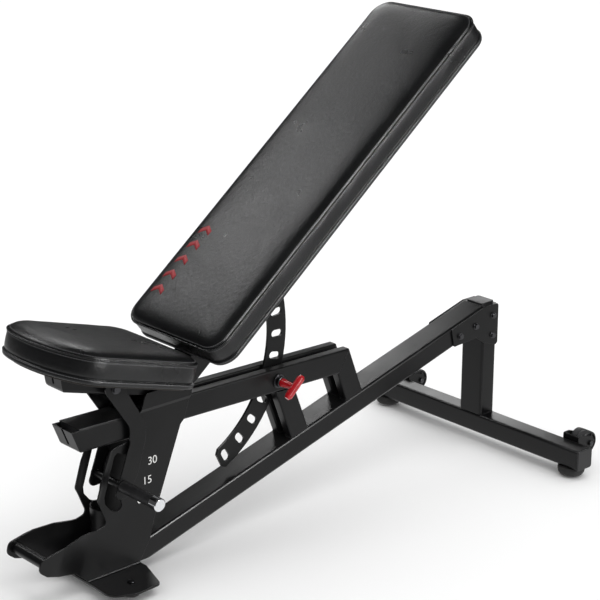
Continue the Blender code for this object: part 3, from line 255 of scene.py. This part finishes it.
def stained_board():
    """Black-stained plywood: long grain on the faces and thin layers at the edges."""
    material, tree, shader = start_material("stained_board", (0.020, 0.018, 0.016), 0.7)
    grain = noise_output(tree, own_coordinates(tree, (1.0, 14.0, 14.0)), 26.0, 5.0, 0.65)
    layered = remap(tree, grain, 0.35, 0.65, 0.0, 1.0)
    colour = mix_colours(tree, layered, (0.010, 0.009, 0.008), (0.035, 0.029, 0.024))
    tree.links.new(colour, shader.inputs["Base Color"])
    tree.links.new(remap(tree, grain, 0.3, 0.7, 0.6, 0.8), shader.inputs["Roughness"])
    add_bump(tree, shader, [(grain, 0.0003)])
    return material


def moulded_plastic():
    """Black moulded plastic with a fine spark-eroded texture."""
    material, tree, shader = start_material("moulded_plastic", (0.011, 0.011, 0.012), 0.42, specular=0.45)
    place = own_coordinates(tree)
    texture = noise_output(tree, place, 1100.0, 2.0)
    haze = noise_output(tree, place, 24.0, 3.0)
    tree.links.new(remap(tree, haze, 0.3, 0.7, 0.36, 0.50), shader.inputs["Roughness"])
    hazy = remap(tree, haze, 0.35, 0.7, 0.0, 1.0)
    colour = mix_colours(tree, hazy, (0.009, 0.009, 0.010), (0.017, 0.017, 0.018))
    tree.links.new(colour, shader.inputs["Base Color"])
    add_bump(tree, shader, [(texture, 0.00006)], rounded_normal(tree, 0.0010))
    return material


def moulded_rubber():
    material, tree, shader = start_material("moulded_rubber", (0.014, 0.014, 0.014), 0.72, specular=0.35)
    place = own_coordinates(tree)
    speckle = noise_output(tree, place, 700.0, 3.0)
    dust = noise_output(tree, place, 30.0, 4.0)
    dusty = remap(tree, dust, 0.4, 0.7, 0.0, 1.0)
    colour = mix_colours(tree, dusty, (0.011, 0.011, 0.011), (0.028, 0.027, 0.026))
    tree.links.new(colour, shader.inputs["Base Color"])
    tree.links.new(remap(tree, dust, 0.3, 0.7, 0.62, 0.82), shader.inputs["Roughness"])
    add_bump(tree, shader, [(speckle, 0.0001)], rounded_normal(tree, 0.0012))
    return material


def red_plastic():
    """Glossy red moulding with faint flow variation."""
    material, tree, shader = start_material("red_plastic", (0.42, 0.006, 0.012), 0.22)
    shader.inputs["Coat Weight"].default_value = 0.35
    shader.inputs["Coat Roughness"].default_value = 0.08
    place = own_coordinates(tree)
    flow = noise_output(tree, place, 60.0, 3.0)
    flowing = remap(tree, flow, 0.35, 0.65, 0.0, 1.0)
    colour = mix_colours(tree, flowing, (0.36, 0.004, 0.009), (0.48, 0.009, 0.016))
    tree.links.new(colour, shader.inputs["Base Color"])
    tree.links.new(remap(tree, flow, 0.3, 0.7, 0.17, 0.27), shader.inputs["Roughness"])
    add_bump(tree, shader, [(noise_output(tree, place, 240.0, 2.0), 0.00004)])
    return material


def metal(name, colour, rough_low, rough_high, brushed):
    """Plated steel whose roughness varies along the brushing."""
    material, tree, shader = start_material(name, colour, rough_low, metallic=1.0)
    place = own_coordinates(tree, (1.0, brushed, 1.0))
    streaks = noise_output(tree, place, 420.0, 3.0)
    tree.links.new(remap(tree, streaks, 0.3, 0.7, rough_low, rough_high), shader.inputs["Roughness"])
    dark = tuple(value * 0.82 for value in colour)
    tree.links.new(mix_colours(tree, streaks, dark, colour), shader.inputs["Base Color"])
    add_bump(tree, shader, [(streaks, 0.00002)], rounded_normal(tree, 0.0007))
    return material


def printed_ink(name, colour, roughness):
    """A thin printed film, slightly broken up by the grain below it."""
    material, tree, shader = start_material(name, colour, roughness)
    place = own_coordinates(tree)
    fleck = noise_output(tree, place, 380.0, 3.0)
    worn = tuple(value * 0.72 for value in colour)
    mixed = mix_colours(tree, remap(tree, fleck, 0.32, 0.55, 0.0, 1.0), worn, colour)
    tree.links.new(mixed, shader.inputs["Base Color"])
    tree.links.new(remap(tree, fleck, 0.3, 0.7, roughness, roughness + 0.12), shader.inputs["Roughness"])
    add_bump(tree, shader, [(fleck, 0.00005)])
    return material


MATERIALS = {
    "black_paint": powder_coat(),
    "vinyl": vinyl(),
    "board": stained_board(),
    "rubber": moulded_rubber(),
    "black_plastic": moulded_plastic(),
    "red_plastic": red_plastic(),
    "chrome": metal("chrome", (0.86, 0.87, 0.89), 0.05, 0.10, 1.0),
    "zinc": metal("dark_zinc", (0.085, 0.085, 0.09), 0.26, 0.42, 0.2),
}
THREAD = thread()
# Painted light: the base band below the lower seam gets a lighter copy of the pad's own vinyl, so that it reads
# brighter than the side wall above it.
BAND_VINYL_PAINTED_LIGHTER = vinyl("band_vinyl_painted_lighter", (0.0075, 0.0078, 0.0083))
WELT_VINYL = vinyl("welt_vinyl", (0.0060, 0.0062, 0.0066), 0.20)
WHITE_INK = printed_ink("white_ink", (0.82, 0.82, 0.80), 0.45)
RED_INK = printed_ink("red_ink", (0.30, 0.008, 0.014), 0.45)


# ---------------------------------------------------------------- pieces


def new_piece(name, mesh, material, body):
    """Links a mesh as a piece that rides on a body."""
    piece = bpy.data.objects.new(name, mesh)
    bpy.context.scene.collection.objects.link(piece)
    piece.data.materials.clear()
    piece.data.materials.append(material)
    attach(piece, body)
    return piece


def smooth(mesh, angle=SMOOTH_ANGLE):
    mesh.shade_smooth()
    mesh.set_sharp_from_angle(angle=angle)


def finished(solid, flat=False):
    mesh = bpy.data.meshes.new("mesh")
    bmesh.ops.recalc_face_normals(solid, faces=solid.faces)
    solid.to_mesh(mesh)
    solid.free()
    if not flat:
        smooth(mesh)
    return mesh


def body_of_node(node):
    bodies = frame["record"]["behaviour"]["bodies"]
    return next(body for body, members in bodies.items() if node in members)


def polish_cad_nodes(skipped):
    """Stands a welded copy with softened edges in for each hard CAD node."""
    slots = {row["node"]: row["material_slot"] for row in frame["record"]["subparts"]}
    for node, source in frame["nodes"].items():
        if node in skipped:
            continue
        solid = bmesh.new()
        solid.from_mesh(source.data)
        bmesh.ops.remove_doubles(solid, verts=solid.verts, dist=WELDED)
        bmesh.ops.dissolve_limit(solid, angle_limit=FLAT_ANGLE, verts=solid.verts, edges=solid.edges)
        slot = slots[node]
        piece = new_piece(node + "_shown", finished(solid), MATERIALS[slot], body_of_node(node))
        width = EDGE_WIDTHS.get(node, EDGE_WIDTHS[slot])
        if width:
            bevel = piece.modifiers.new("edges", "BEVEL")
            bevel.width = width
            bevel.segments = 2
            bevel.limit_method = "ANGLE"
            bevel.angle_limit = EDGE_ANGLE
            weighted = piece.modifiers.new("flat_faces", "WEIGHTED_NORMAL")
            weighted.keep_sharp = True
        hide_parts(node)


# ---------------------------------------------------------------- pads


def hinge_point():
    joint = next(joint for joint in frame["joints"] if joint["name"] == "backrest_hinge")
    return Vector(joint["pos_m"])


BACK_FRAME = Matrix.Translation(hinge_point()) @ Matrix.Rotation(-BACK_ANGLE, 4, "Y")
SEAT_FRAME = Matrix.Translation(hinge_point()) @ Matrix.Rotation(SEAT_TILT, 4, "Y")


def extent(node, pad_frame):
    """Lowest and highest corner of a CAD node in a pad's own frame."""
    inverse = pad_frame.inverted()
    places = [inverse @ vertex.co for vertex in frame["nodes"][node].data.vertices]
    low = Vector([min(place[axis] for place in places) for axis in range(3)])
    high = Vector([max(place[axis] for place in places) for axis in range(3)])
    return low, high


BACK_LOW, BACK_HIGH = extent("back_cushion", BACK_FRAME)
SEAT_LOW, SEAT_HIGH = extent("seat_cushion", SEAT_FRAME)


def quarter(centre, radius, start, steps):
    """A quarter turn of an arc, counter-clockwise, without its last point."""
    points = []
    for index in range(steps):
        angle = start + math.pi / 2 * index / steps
        points.append((centre[0] + radius * math.cos(angle), centre[1] + radius * math.sin(angle)))
    return points


def run(first, last, steps):
    """Points along a straight line, without its last point."""
    return [tuple(Vector(first).lerp(Vector(last), index / steps)) for index in range(steps)]


def back_loop(inset):
    """The back pad's outline, counter-clockwise, drawn in by an inset."""
    low_x = BACK_LOW.x + inset
    high_x = BACK_HIGH.x - inset
    half = BACK_HIGH.y - inset
    corner = max(BACK_CORNER - inset * 0.6, 0.012)
    points = run((high_x, corner - half), (high_x, half - corner), 34)
    points += quarter((high_x - corner, half - corner), corner, 0.0, 9)
    points += run((high_x - corner, half), (low_x + corner, half), 120)
    points += quarter((low_x + corner, half - corner), corner, math.pi / 2, 9)
    points += run((low_x, half - corner), (low_x, corner - half), 34)
    points += quarter((low_x + corner, corner - half), corner, math.pi, 9)
    points += run((low_x + corner, -half), (high_x - corner, -half), 120)
    points += quarter((high_x - corner, corner - half), corner, 1.5 * math.pi, 9)
    return points


def seat_loop(inset):
    """The seat's outline: square at the rear, half an ellipse at the front."""
    rear = SEAT_HIGH.x - inset
    half = SEAT_HIGH.y - inset
    reach = SEAT_SHOULDER - SEAT_LOW.x - inset
    corner = max(SEAT_CORNER - inset * 0.6, 0.012)
    points = run((rear, corner - half), (rear, half - corner), 30)
    points += quarter((rear - corner, half - corner), corner, 0.0, 9)
    points += run((rear - corner, half), (SEAT_SHOULDER, half), 28)
    front = 64
    for index in range(front):
        angle = math.pi / 2 + math.pi * index / front
        points.append((SEAT_SHOULDER + reach * math.cos(angle), half * math.sin(angle)))
    points += run((SEAT_SHOULDER, -half), (rear - corner, -half), 28)
    points += quarter((rear - corner, corner - half), corner, 1.5 * math.pi, 9)
    return points


def dome(inset):
    """Height of the padded face over the pad's underside at an inset from its edge."""
    run_in = (inset - 0.005) * 1000
    return PAD_DEPTH - 0.0088 * math.exp(-run_in / 7) - 0.0060 * math.exp(-run_in / 28)


# (inset, height) of the wrapped edge, from the board's pocket up to the crease; True where a seam holds it
WRAPPED_EDGE = (
    (POCKET_INSET, POCKET_DEPTH, True),
    (POCKET_INSET, 0.0004, True),
    (0.0110, 0.0, True),
    (0.0030, 0.0, True),
    (0.0008, 0.0007, True),
    (0.0000, 0.0022, True),
    (-0.0003, 0.0055, True),
    (0.0002, 0.0088, True),
    (0.0012, 0.0103, True),
    (0.0030, 0.0110, True),
    (0.0042, SEAM_DEPTH, True),
    (0.0034, 0.0125, True),
    (0.0022, 0.0145, False),
    (0.0016, 0.0185, False),
    (0.0014, 0.0240, False),
    (0.0014, 0.0300, False),
    (0.0016, 0.0360, False),
    (0.0020, 0.0420, False),
    (0.0024, 0.0465, False),
    (0.0028, 0.0488, True),
    (0.0034, CREASE_DEPTH, True),
    (0.0044, 0.0524, True),
)
# Places in each outline where the middle's grid turns its corners
BACK_SPLITS = (-5, 38, 167, 210)
SEAT_SPLITS = (-4, 34, 80, 118)
FACE_INSETS = (
    0.0054, 0.0070, 0.0090, 0.0115, 0.0145, 0.0185, 0.0235,
    0.0295, 0.0365, 0.0450, 0.0550, 0.0665, 0.0800, 0.0950,
)


def fill_middle(solid, ring, splits, height):
    """Fills a ring with a grid between its four sides, which run between the split indices."""
    count = len(ring)
    first, second, third, fourth = splits
    wide = second - first
    long = third - second
    front = [ring[(first + step) % count] for step in range(wide + 1)]
    right = [ring[(second + step) % count] for step in range(long + 1)]
    back = [ring[(fourth - step) % count] for step in range(wide + 1)]
    left = [ring[(first - step) % count] for step in range(long + 1)]
    grid = [front]
    for row in range(1, long):
        down = row / long
        line = [left[row]]
        for column in range(1, wide):
            over = column / wide
            place = front[column].co * (1 - down) + back[column].co * down
            place += left[row].co * (1 - over) + right[row].co * over
            place -= (front[0].co * (1 - over) + front[-1].co * over) * (1 - down)
            place -= (back[0].co * (1 - over) + back[-1].co * over) * down
            place.z = height + 0.0006 * math.sin(math.pi * over) * math.sin(math.pi * down)
            line.append(solid.verts.new(place))
        grid.append([*line, right[row]])
    grid.append(back)
    for upper, lower in zip(grid, grid[1:]):
        for column in range(wide):
            solid.faces.new((upper[column], upper[column + 1], lower[column + 1], lower[column]))


def pad_mesh(loop_at, bottom, splits):
    """Rings from the pocket over the edge and across the crowned face, with the indices a seam holds."""
    solid = bmesh.new()
    marks = solid.verts.layers.int.new("held")
    rings = []
    for inset, height, is_held in WRAPPED_EDGE:
        ring = [solid.verts.new((x, y, bottom + height)) for x, y in loop_at(inset)]
        rings.append(ring)
        for vertex in ring:
            vertex[marks] = int(is_held)
    for inset in FACE_INSETS:
        ring = []
        for x, y in loop_at(inset):
            ring.append(solid.verts.new((x, y, bottom + dome(inset))))
        rings.append(ring)
    count = len(rings[0])
    for lower, upper in zip(rings, rings[1:]):
        for index in range(count):
            after = (index + 1) % count
            solid.faces.new((lower[index], lower[after], upper[after], upper[index]))
    solid.faces.new(list(reversed(rings[0])))
    fill_middle(solid, rings[-1], splits, bottom + dome(FACE_INSETS[-1]))
    solid.verts.index_update()
    held_indices = [vertex.index for vertex in solid.verts if vertex[marks] == 1]
    mesh = finished(solid, flat=True)
    mesh.shade_smooth()
    return mesh, held_indices


def smoothed(moves, mesh, held, rounds):
    """Evens out each free vertex's move with its neighbours' moves; held vertices stay."""
    near = [[] for _ in mesh.vertices]
    for edge in mesh.edges:
        first, second = edge.vertices
        near[first].append(second)
        near[second].append(first)
    free = sorted(set(range(len(near))) - set(held))
    for index in held:
        moves[index] = Vector()
    for _ in range(rounds):
        evened = list(moves)
        for index in free:
            mean = sum((moves[other] for other in near[index]), Vector()) / len(near[index])
            evened[index] = (moves[index] + mean) / 2
        moves = evened
    return moves


def inflate(piece, held, pressure, cap):
    """Cloth pressure swells the vinyl between its seams, square to it and within the cap."""
    group = piece.vertex_groups.new(name="held")
    group.add(held, 1.0, "REPLACE")
    cloth = piece.modifiers.new("inflate", "CLOTH")
    cloth.settings.vertex_group_mass = "held"
    cloth.settings.use_pressure = True
    cloth.settings.uniform_pressure_force = pressure
    cloth.settings.effector_weights.gravity = 0.0
    cloth.settings.quality = 3
    scene = bpy.context.scene
    for number in range(1, 21):
        scene.frame_set(number)
    view = piece.evaluated_get(bpy.context.evaluated_depsgraph_get())
    swollen = view.to_mesh()
    moves = []
    for before, after in zip(piece.data.vertices, swollen.vertices):
        swell = (after.co - before.co).dot(before.normal)
        moves.append(before.normal * (cap * math.tanh(swell / cap)))
    view.to_mesh_clear()
    piece.modifiers.remove(cloth)
    piece.vertex_groups.remove(group)
    for vertex, move in zip(piece.data.vertices, smoothed(moves, piece.data, held, SWELL_ROUNDS)):
        vertex.co += move
    scene.frame_set(1)


def dent_face(mesh, bottom, loop_at):
    """Gentle waves over the padded face and small puckers beside the crease."""
    edge = [Vector((x, y, 0.0)) for x, y in loop_at(0.0)]
    outline = [(edge[index], edge[(index + 1) % len(edge)]) for index in range(len(edge))]
    for vertex in mesh.vertices:
        height = vertex.co.z - bottom
        if height < 0.0128:
            continue
        spot = Vector((vertex.co.x, vertex.co.y, 0.0))
        if height > 0.0535:
            wave = noise.noise(Vector((spot.x * 7.0, spot.y * 9.0, 3.7)))
            ripple = noise.noise(Vector((spot.x * 26.0, spot.y * 22.0, 9.1)))
            near = min((spot - (first + second) / 2).length for first, second in outline[::2])
            rim = math.exp(-max(near - 0.004, 0.0) / 0.013)
            pucker = noise.noise(Vector((spot.x * 60.0, spot.y * 60.0, 1.3)))
            vertex.co.z += (0.00085 * wave + 0.00022 * ripple) * (1 - rim) + 0.00050 * pucker * rim
        elif 0.0145 < height < 0.0480:
            wave = noise.noise(Vector((spot.x * 16.0, spot.y * 16.0, height * 30.0)))
            outward = spot.normalized() if spot.length > 0 else spot
            vertex.co += Vector((0.0, math.copysign(1.0, outward.y), 0.0)) * 0.00035 * wave


def make_cushion(node, loop_at, bottom, pad_frame, body, splits):
    mesh, held = pad_mesh(loop_at, bottom, splits)
    cushion = bpy.data.objects.new(node + "_shown", mesh)
    bpy.context.scene.collection.objects.link(cushion)
    inflate(cushion, held, SWELL_PRESSURE, SWELL_CAP)
    dent_face(mesh, bottom, loop_at)
    mesh.transform(pad_frame)
    mesh.materials.append(MATERIALS["vinyl"])
    # Second slot: the lighter copy of the vinyl, painted light, for the faces of the base band below the lower
    # seam.
    mesh.materials.append(BAND_VINYL_PAINTED_LIGHTER)
    inverse = pad_frame.inverted()
    for face in mesh.polygons:
        if (inverse @ face.center).z - bottom < SEAM_DEPTH:
            face.material_index = 1
    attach(cushion, body)
    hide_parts(node)
    return cushion


def sweep(points, radius, sides, closed=True):
    """A tube of a few sides along points; a number or one radius a point."""
    solid = bmesh.new()
    rings = []
    count = len(points)
    for index, point in enumerate(points):
        before = points[index - 1] if closed or index else point
        after = points[(index + 1) % count] if closed or index < count - 1 else point
        along = (after - before).normalized()
        side = along.cross(Vector((0.3, 0.2, 1.0))).normalized()
        up = side.cross(along)
        size = radius[index] if isinstance(radius, (list, tuple)) else radius
        ring = []
        for step in range(sides):
            angle = 2 * math.pi * step / sides
            ring.append(solid.verts.new(point + (side * math.cos(angle) + up * math.sin(angle)) * size))
        rings.append(ring)
    pairs = list(zip(rings, rings[1:]))
    if closed:
        pairs.append((rings[-1], rings[0]))
    for lower, upper in pairs:
        for step in range(sides):
            after = (step + 1) % sides
            solid.faces.new((lower[step], lower[after], upper[after], upper[step]))
    if not closed:
        solid.faces.new(list(reversed(rings[0])))
        solid.faces.new(rings[-1])
    return finished(solid)


def make_piping(name, loop_at, bottom, pad_frame, body):
    """The corded seam that makes the pad's crisp upper crease."""
    height = bottom + CREASE_DEPTH + WELT_LIFT
    points = [pad_frame @ Vector((x, y, height)) for x, y in loop_at(WELT_INSET)]
    return new_piece(name, sweep(points, WELT_RADIUS, 10), WELT_VINYL, body)


def evenly(points, pitch):
    """Points and directions at an even pitch round a closed line."""
    ends = points[1:] + points[:1]
    lengths = [(end - point).length for point, end in zip(points, ends)]
    total = sum(lengths)
    number = round(total / pitch)
    step = total / number
    placed = []
    index = 0
    passed = 0.0
    for count in range(number):
        target = count * step
        while passed + lengths[index] < target:
            passed += lengths[index]
            index += 1
        start = points[index]
        end = ends[index]
        share = (target - passed) / lengths[index]
        placed.append((start.lerp(end, share), (end - start).normalized()))
    return placed


def make_stitches(name, rows, pad_frame, body):
    """Rows of short thread stitches, each row (loop of pad points, tilt of the surface from upright)."""
    solid = bmesh.new()
    sides = 6
    for loop, tilt in rows:
        for place, along in evenly(loop, STITCH_PITCH):
            outward = Vector((along.y, -along.x, 0.0))
            normal = (outward * math.cos(tilt) + Vector((0, 0, 1)) * math.sin(tilt)).normalized()
            side = along.cross(normal)
            rings = []
            for share, lift in ((-0.5, -0.0003), (-0.25, 0.00025), (0.25, 0.00025), (0.5, -0.0003)):
                centre = place + along * share * STITCH_LENGTH + normal * lift
                ring = []
                for step in range(sides):
                    angle = 2 * math.pi * step / sides
                    offset = (side * math.cos(angle) + normal * math.sin(angle)) * THREAD_RADIUS
                    ring.append(solid.verts.new(pad_frame @ (centre + offset)))
                rings.append(ring)
            for lower, upper in zip(rings, rings[1:]):
                for step in range(sides):
                    after = (step + 1) % sides
                    solid.faces.new((lower[step], lower[after], upper[after], upper[step]))
            solid.faces.new(list(reversed(rings[0])))
            solid.faces.new(rings[-1])
    return new_piece(name, finished(solid), THREAD, body)


def stitch_rows(loop_at, bottom):
    """One row over the crease, one under it, and one on the base band."""
    rows = []
    for inset, height, tilt in ((0.0060, dome(0.0060), 0.8), (0.0018, 0.0462, 0.0), (-0.0004, 0.0082, 0.1)):
        loop = [Vector((x, y, bottom + height)) for x, y in loop_at(inset)]
        rows.append((loop, tilt))
    return rows


def make_pads():
    back = make_cushion("back_cushion", back_loop, BACK_LOW.z, BACK_FRAME, "backrest", BACK_SPLITS)
    make_cushion("seat_cushion", seat_loop, SEAT_LOW.z, SEAT_FRAME, "seat", SEAT_SPLITS)
    make_piping("back_piping", back_loop, BACK_LOW.z, BACK_FRAME, "backrest")
    make_piping("seat_piping", seat_loop, SEAT_LOW.z, SEAT_FRAME, "seat")
    make_stitches("back_stitches", stitch_rows(back_loop, BACK_LOW.z), BACK_FRAME, "backrest")
    make_stitches("seat_stitches", stitch_rows(seat_loop, SEAT_LOW.z), SEAT_FRAME, "seat")
    make_mark(back)


def make_mark(cushion):
    """A plain row of five chevrons printed along the lower far edge of the back pad."""
    tree = BVHTree.FromObject(cushion, bpy.context.evaluated_depsgraph_get())
    inverse = BACK_FRAME.inverted()
    down = BACK_FRAME.to_3x3() @ Vector((0, 0, -1))
    solid = bmesh.new()
    for number in range(5):
        start = 0.108 + number * 0.043
        outer = []
        inner = []
        for step in range(9):
            share = step / 8
            across = 0.088 + 0.038 * share
            point = 0.012 * (1 - abs(2 * share - 1))
            outer.append((start + 0.014 + point, across))
            inner.append((start + point, across))
        columns = []
        for first, last in zip(inner, outer):
            column = []
            for share in (0.0, 0.5, 1.0):
                x, y = Vector(first).lerp(Vector(last), share)
                above = BACK_FRAME @ Vector((x, y, BACK_HIGH.z + 0.05))
                hit = tree.ray_cast(above, down)[0]
                column.append(solid.verts.new(hit - down * 0.0003))
            columns.append(column)
        for left, right in zip(columns, columns[1:]):
            for row in range(2):
                solid.faces.new((left[row], left[row + 1], right[row + 1], right[row]))
    bmesh.ops.recalc_face_normals(solid, faces=solid.faces)
    if (inverse.to_3x3() @ solid.faces[:][0].normal).z < 0:
        bmesh.ops.reverse_faces(solid, faces=solid.faces)
    mesh = bpy.data.meshes.new("mark")
    solid.to_mesh(mesh)
    solid.free()
    mesh.shade_smooth()
    mark = new_piece("back_mark", mesh, RED_INK, "backrest")
    film = mark.modifiers.new("film", "SOLIDIFY")
    film.thickness = 0.0005
    film.offset = -1.0


# ---------------------------------------------------------------- weld beads and labels


def surface_of(node):
    solid = bmesh.new()
    solid.from_mesh(frame["nodes"][node].data)
    tree = BVHTree.FromBMesh(solid)
    solid.free()
    return tree


def hull_order(points, normal):
    """The outermost of coplanar points, in order round their middle."""
    middle = sum(points, Vector()) / len(points)
    first = normal.orthogonal().normalized()
    second = normal.cross(first)
    offsets = [point - middle for point in points]
    flat = sorted({(round(offset.dot(first), 5), round(offset.dot(second), 5)) for offset in offsets})

    def chain(ordered):
        line = []
        for point in ordered:
            while len(line) > 1:
                (ax, ay), (bx, by) = line[-2], line[-1]
                if (bx - ax) * (point[1] - ay) - (by - ay) * (point[0] - ax) > 1e-10:
                    break
                line.pop()
            line.append(point)
        return line[:-1]

    hull = chain(flat) + chain(list(reversed(flat)))
    return [middle + first * x + second * y for x, y in hull]


def weld(name, node, onto, body, radius=0.0022):
    """A rippled weld bead round the end of one node where it stands on another."""
    tree = surface_of(onto)
    touching = []
    normals = []
    for vertex in frame["nodes"][node].data.vertices:
        place, normal, _, distance = tree.find_nearest(vertex.co)
        if distance < 0.0009:
            touching.append(vertex.co.copy())
            normals.append(normal)
    facing = sum(normals, Vector()).normalized()
    corners = hull_order(touching, facing)
    ripple = 0.0011
    placed = evenly(corners, ripple)
    points = [place for place, _ in placed]
    sizes = [radius * (1.0 + 0.10 * math.sin(index * 1.35)) for index in range(len(points))]
    return new_piece(name, sweep(points, sizes, 8), MATERIALS["black_paint"], body)


def make_welds():
    for post in ("front_post_near", "front_post_far", "rear_post_near", "rear_post_far"):
        weld("weld_" + post, post, "spine_tube", "frame")
    weld("weld_rear_upright", "rear_upright", "rear_crossbar", "frame")
    weld("weld_side_plate_near", "side_plate_near", "front_foot_plate", "frame", 0.0026)
    weld("weld_side_plate_far", "side_plate_far", "front_foot_plate", "frame", 0.0026)


def make_label(text, x, z):
    """A printed notch number on the near side plate."""
    curve = bpy.data.curves.new("label", "FONT")
    curve.body = text
    curve.size = LABEL_HEIGHT
    curve.align_x = "CENTER"
    curve.align_y = "CENTER"
    curve.extrude = 0.00008
    maker = bpy.data.objects.new("label", curve)
    bpy.context.scene.collection.objects.link(maker)
    drawn = maker.evaluated_get(bpy.context.evaluated_depsgraph_get())
    mesh = bpy.data.meshes.new_from_object(drawn)
    bpy.data.objects.remove(maker)
    bpy.data.curves.remove(curve)
    face_y = PLATE_FACE_Y - 0.0001
    mesh.transform(Matrix.Translation((x, face_y, z)) @ Matrix.Rotation(math.pi / 2, 4, "X"))
    new_piece("label_" + text, mesh, WHITE_INK, "frame")


# ---------------------------------------------------------------- stage, light and camera


def make_floor():
    mesh = bpy.data.meshes.new("floor")
    reach = 40.0
    corners = [(-reach, -reach, 0), (reach, -reach, 0), (reach, reach, 0), (-reach, reach, 0)]
    mesh.from_pydata(corners, [], [(0, 1, 2, 3)])
    floor = bpy.data.objects.new("floor", mesh)
    bpy.context.scene.collection.objects.link(floor)
    mesh.materials.append(start_material("floor", (0.86, 0.86, 0.86), 0.75, specular=0.2)[0])
    floor.visible_glossy = False


def add_area(name, place, target, size, power):
    light = bpy.data.lights.new(name, "AREA")
    light.shape = "RECTANGLE"
    light.size, light.size_y = size
    light.energy = power
    lamp = bpy.data.objects.new(name, light)
    bpy.context.scene.collection.objects.link(lamp)
    lamp.location = place
    lamp.rotation_euler = (Vector(target) - Vector(place)).to_track_quat("-Z", "Y").to_euler()
    lamp.visible_camera = False
    return lamp


def make_world():
    """White all round for the eye and for soft light; glossy surfaces see the tent instead."""
    world = bpy.data.worlds.new("studio")
    world.use_nodes = True
    background = world.node_tree.nodes["Background"]
    background.inputs["Color"].default_value = (1.0, 1.0, 1.0, 1.0)
    background.inputs["Strength"].default_value = 1.0
    world.cycles_visibility.glossy = False
    bpy.context.scene.world = world


def make_tent():
    """What glossy surfaces reflect: white from below, and dark from eye level up."""
    solid = bmesh.new()
    bmesh.ops.create_icosphere(solid, subdivisions=4, radius=30.0)
    tent = bpy.data.objects.new("tent", finished(solid))
    bpy.context.scene.collection.objects.link(tent)
    material = bpy.data.materials.new("tent")
    material.use_nodes = True
    tree = material.node_tree
    tree.nodes.clear()
    parts = tree.nodes.new("ShaderNodeSeparateXYZ")
    tree.links.new(own_coordinates(tree), parts.inputs["Vector"])
    emission = tree.nodes.new("ShaderNodeEmission")
    tree.links.new(remap(tree, parts.outputs["Z"], -11.0, -3.5, 0.95, 0.06), emission.inputs["Strength"])
    output = tree.nodes.new("ShaderNodeOutputMaterial")
    tree.links.new(emission.outputs["Emission"], output.inputs["Surface"])
    tent.data.materials.append(material)
    tent.visible_camera = False
    tent.visible_diffuse = False
    tent.visible_shadow = False
    tent.visible_transmission = False


def make_light():
    """A sun that only lights surfaces, and softboxes that only shine in glossy ones."""
    make_world()
    make_tent()
    sun = bpy.data.lights.new("key", "SUN")
    sun.energy = 0.95
    sun.angle = math.radians(50)
    lamp = bpy.data.objects.new("key", sun)
    bpy.context.scene.collection.objects.link(lamp)
    lamp.rotation_euler = Vector((0.12, -0.25, 0.96)).to_track_quat("Z", "Y").to_euler()
    lamp.visible_glossy = False
    for name, place, target, size, power in SOFTBOXES:
        add_area(name, place, target, size, power).visible_diffuse = False


def make_camera():
    camera = bpy.data.cameras.new("camera")
    camera.lens = CAMERA_LENS
    camera.sensor_width = 36.0
    camera.clip_end = 200.0
    holder = bpy.data.objects.new("camera", camera)
    bpy.context.scene.collection.objects.link(holder)
    across = math.cos(CAMERA_ELEVATION)
    level = Vector((math.cos(CAMERA_AZIMUTH), math.sin(CAMERA_AZIMUTH), 0.0))
    back = Vector((level.y * across, -level.x * across, math.sin(CAMERA_ELEVATION)))
    up = back.cross(level)
    right = math.cos(CAMERA_ROLL) * level + math.sin(CAMERA_ROLL) * up
    turned = Matrix((right, back.cross(right), back)).transposed()
    holder.location = CAMERA_PLACE
    holder.rotation_euler = turned.to_euler()
    bpy.context.scene.camera = holder


# ---------------------------------------------------------------- whole scene

polish_cad_nodes(skipped=("back_cushion", "seat_cushion"))
make_pads()
make_welds()
for number, x, z in LABELS:
    make_label(number, x, z)
make_floor()
make_light()
make_camera()
bpy.context.scene.view_settings.view_transform = "Standard"
